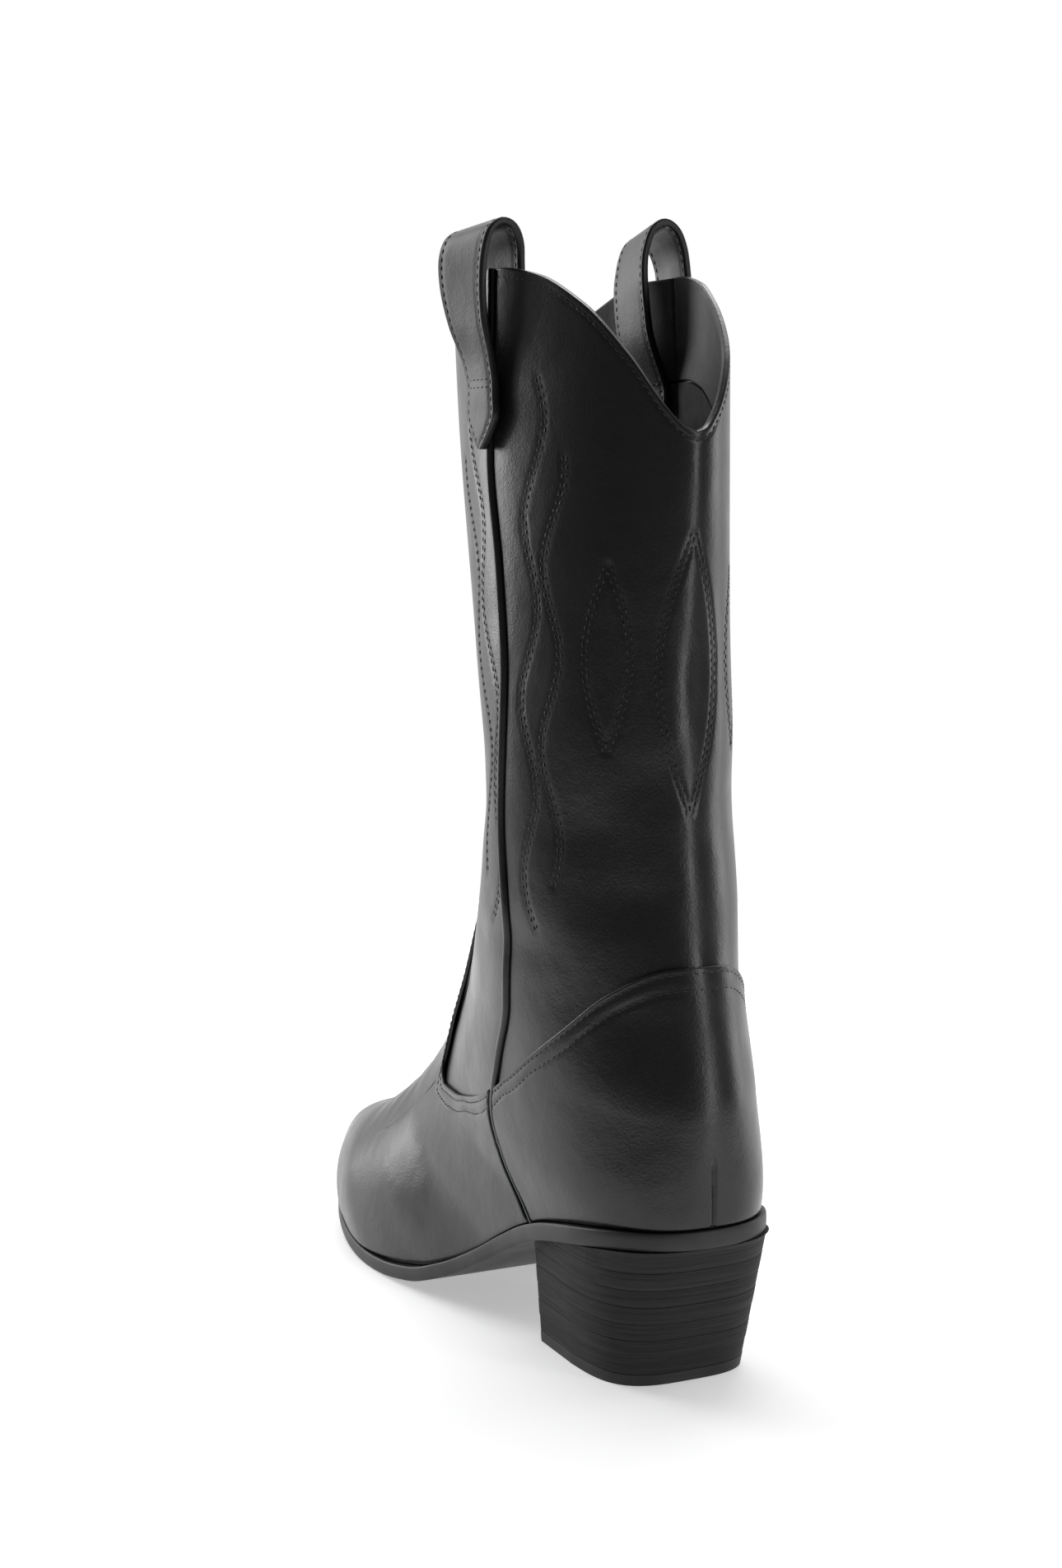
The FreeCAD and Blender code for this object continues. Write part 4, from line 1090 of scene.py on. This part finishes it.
def heel_outline(setback, length, half_width, roundness, corner=3.0):
    """The heel's plan as (setback, distance across): a round back and a straight breast."""
    middle = setback + length * 0.55
    front = setback + length
    turns = np.linspace(0, np.pi, 90)
    x = half_width * np.sign(np.cos(turns)) * np.abs(np.cos(turns)) ** (2 / roundness)
    back = middle - (middle - setback) * np.sin(turns) ** (2 / roundness)
    edge = half_width * 0.94
    left = np.linspace((middle, -half_width), (front - corner * 0.2, -edge), 12)[1:]
    breast = np.linspace((front, -edge + corner * 0.3), (front, edge - corner * 0.3), 26)
    right = np.linspace((front - corner * 0.2, edge), (middle, half_width), 12)[:-1]
    return np.concatenate([np.stack([back, x], axis=1), left, breast, right])


def add_heel():
    bottom, top = heel_outline(*HEEL_BOTTOM), heel_outline(*HEEL_TOP)
    edges = [0.0] + [TOP_LIFT_HEIGHT + LIFT_HEIGHT * number for number in range(7)] + [HEEL_HEIGHT]
    for number, (low, high) in enumerate(zip(edges, edges[1:])):
        name = "heel_lift_%d" % number if number else "heel_top_lift"
        rings = []
        for height, inset in (
                (low + 0.02, 1.2), (low + 0.02, 0.12), (low + 0.14, 0.0), ((low + high) / 2, -0.03),
                (high - 0.14, 0.0), (high - 0.02, 0.12), (high - 0.02, 1.2)):
            share = height / HEEL_HEIGHT
            plan = loop_inset(bottom + (top - bottom) * share, inset - LIFT_PROUD[number])
            z = np.minimum(height, outsole_bottom(plan[:, 0]) - 0.04 - max(inset, 0) * 0.02)
            rings.append(np.stack([plan[:, 1], y_at(plan[:, 0]), z], axis=1))
        points, faces = np.concatenate(rings), ring_faces(len(rings), len(rings[0]))
        finish, slot = (stack_finish, "heel_stack") if number else (top_lift_finish, "top_lift_rubber")
        add_piece("stacked_" + name, points, faces, finish, [name], sharp=40.0)


add_heel()

# ---------------------------------------------------------------- CAD nodes that stay, hidden inside

for node, finish in (
        ("toe_puff", board_finish), ("vamp_backer", backer_finish), ("counter_stiffener", board_finish),
        ("bottom_filler", cork_finish), ("steel_shank", steel_finish), ("insole_board", board_finish),
        ("heel_nails", steel_finish), ("sock_liner", sock_finish)):
    item = bpy.data.objects[node]
    if not item.material_slots:
        item.data.materials.append(finish)
    for slot in item.material_slots:
        slot.material = finish

# ---------------------------------------------------------------- studio

VIEW_DIRECTION = Vector((-0.45264, -0.88508, -0.10847))
CAMERA_LOCATION = (0.4076, 0.8111, 0.2821)
LENS = 57.67
SENSOR_WIDTH = 36.0
FLOOR_RADIUS = 0.9
LIGHTS_AIM = Vector((0.0, 0.0, 0.18))
WHITE = (1.0, 1.0, 1.0, 1.0)


def add_to_scene(name, data):
    item = bpy.data.objects.new(name, data)
    bpy.context.scene.collection.objects.link(item)
    return item


def add_floor():
    work = bmesh.new()
    bmesh.ops.create_circle(work, cap_ends=True, radius=FLOOR_RADIUS, segments=96)
    mesh = bpy.data.meshes.new("studio_floor")
    work.to_mesh(mesh)
    work.free()
    finish = bpy.data.materials.new("pale_floor")
    finish.use_nodes = True
    set_inputs(finish.node_tree.nodes["Principled BSDF"], {
        "Base Color": (0.9, 0.9, 0.91, 1.0), "Roughness": 0.7, "Specular IOR Level": 0.2,
        "Emission Color": WHITE, "Emission Strength": 0.42})
    mesh.materials.append(finish)
    add_to_scene("studio_floor", mesh)


def add_softbox(name, azimuth, height, distance, width, tall, power):
    """A large soft light; azimuth is measured round the boot from the camera's far side."""
    away = math.radians(azimuth)
    far = Vector((VIEW_DIRECTION.x, VIEW_DIRECTION.y, 0)).normalized()
    right = Vector((far.y, -far.x, 0))
    place = (far * math.cos(away) + right * math.sin(away)) * distance + Vector((0, 0, height))
    data = bpy.data.lights.new(name, "AREA")
    data.shape = "RECTANGLE"
    data.size = width
    data.size_y = tall
    data.energy = power
    light = add_to_scene(name, data)
    light.location = place
    light.rotation_euler = (LIGHTS_AIM - place).to_track_quat("-Z", "Y").to_euler()


def make_world():
    """White to the eye; as a light, bright beyond the boot and dim on the camera's side."""
    world = bpy.data.worlds.new("studio")
    bpy.context.scene.world = world
    world.use_nodes = True
    nodes, links = world.node_tree.nodes, world.node_tree.links
    background = nodes["Background"]
    facing = nodes.new("ShaderNodeVectorMath")
    facing.operation = "DOT_PRODUCT"
    facing.inputs[1].default_value = Vector((VIEW_DIRECTION.x, VIEW_DIRECTION.y, 0.25)).normalized()
    links.new(nodes.new("ShaderNodeTexCoord").outputs["Generated"], facing.inputs[0])
    level = nodes.new("ShaderNodeMapRange")
    level.interpolation_type = "SMOOTHSTEP"
    set_inputs(level, {"From Min": -0.1, "From Max": 0.9, "To Min": 0.09, "To Max": 0.95})
    links.new(facing.outputs["Value"], level.inputs["Value"])
    set_inputs(background, {"Color": WHITE})
    links.new(level.outputs["Result"], background.inputs["Strength"])
    seen = nodes.new("ShaderNodeBackground")
    set_inputs(seen, {"Color": WHITE, "Strength": 1.0})
    mix = nodes.new("ShaderNodeMixShader")
    links.new(nodes.new("ShaderNodeLightPath").outputs["Is Camera Ray"], mix.inputs["Fac"])
    links.new(background.outputs["Background"], mix.inputs[1])
    links.new(seen.outputs["Background"], mix.inputs[2])
    links.new(mix.outputs["Shader"], nodes["World Output"].inputs["Surface"])


camera_data = bpy.data.cameras.new("photo_camera")
camera_data.sensor_fit = "AUTO"
camera_data.sensor_width = SENSOR_WIDTH
camera_data.lens = LENS
camera = add_to_scene("photo_camera", camera_data)
camera.location = CAMERA_LOCATION
camera.rotation_euler = VIEW_DIRECTION.to_track_quat("-Z", "Y").to_euler()
bpy.context.scene.camera = camera

add_floor()
make_world()
# name, degrees round, height and distance, width and height of the light, in metres, and watts
for softbox in (
        ("softbox_left", -56, 0.7, 1.4, 0.6, 1.2, 10.5),
        ("softbox_right", 66, 0.4, 1.5, 0.5, 1.2, 4.0),
        ("softbox_behind_camera", 127, 0.5, 1.9, 0.3, 1.5, 7.0),
        ("softbox_top", 0, 1.4, 0.7, 1.2, 0.8, 12.0)):
    add_softbox(*softbox)
bpy.context.scene.view_settings.view_transform = "Standard"
bpy.context.scene.view_settings.look = "None"
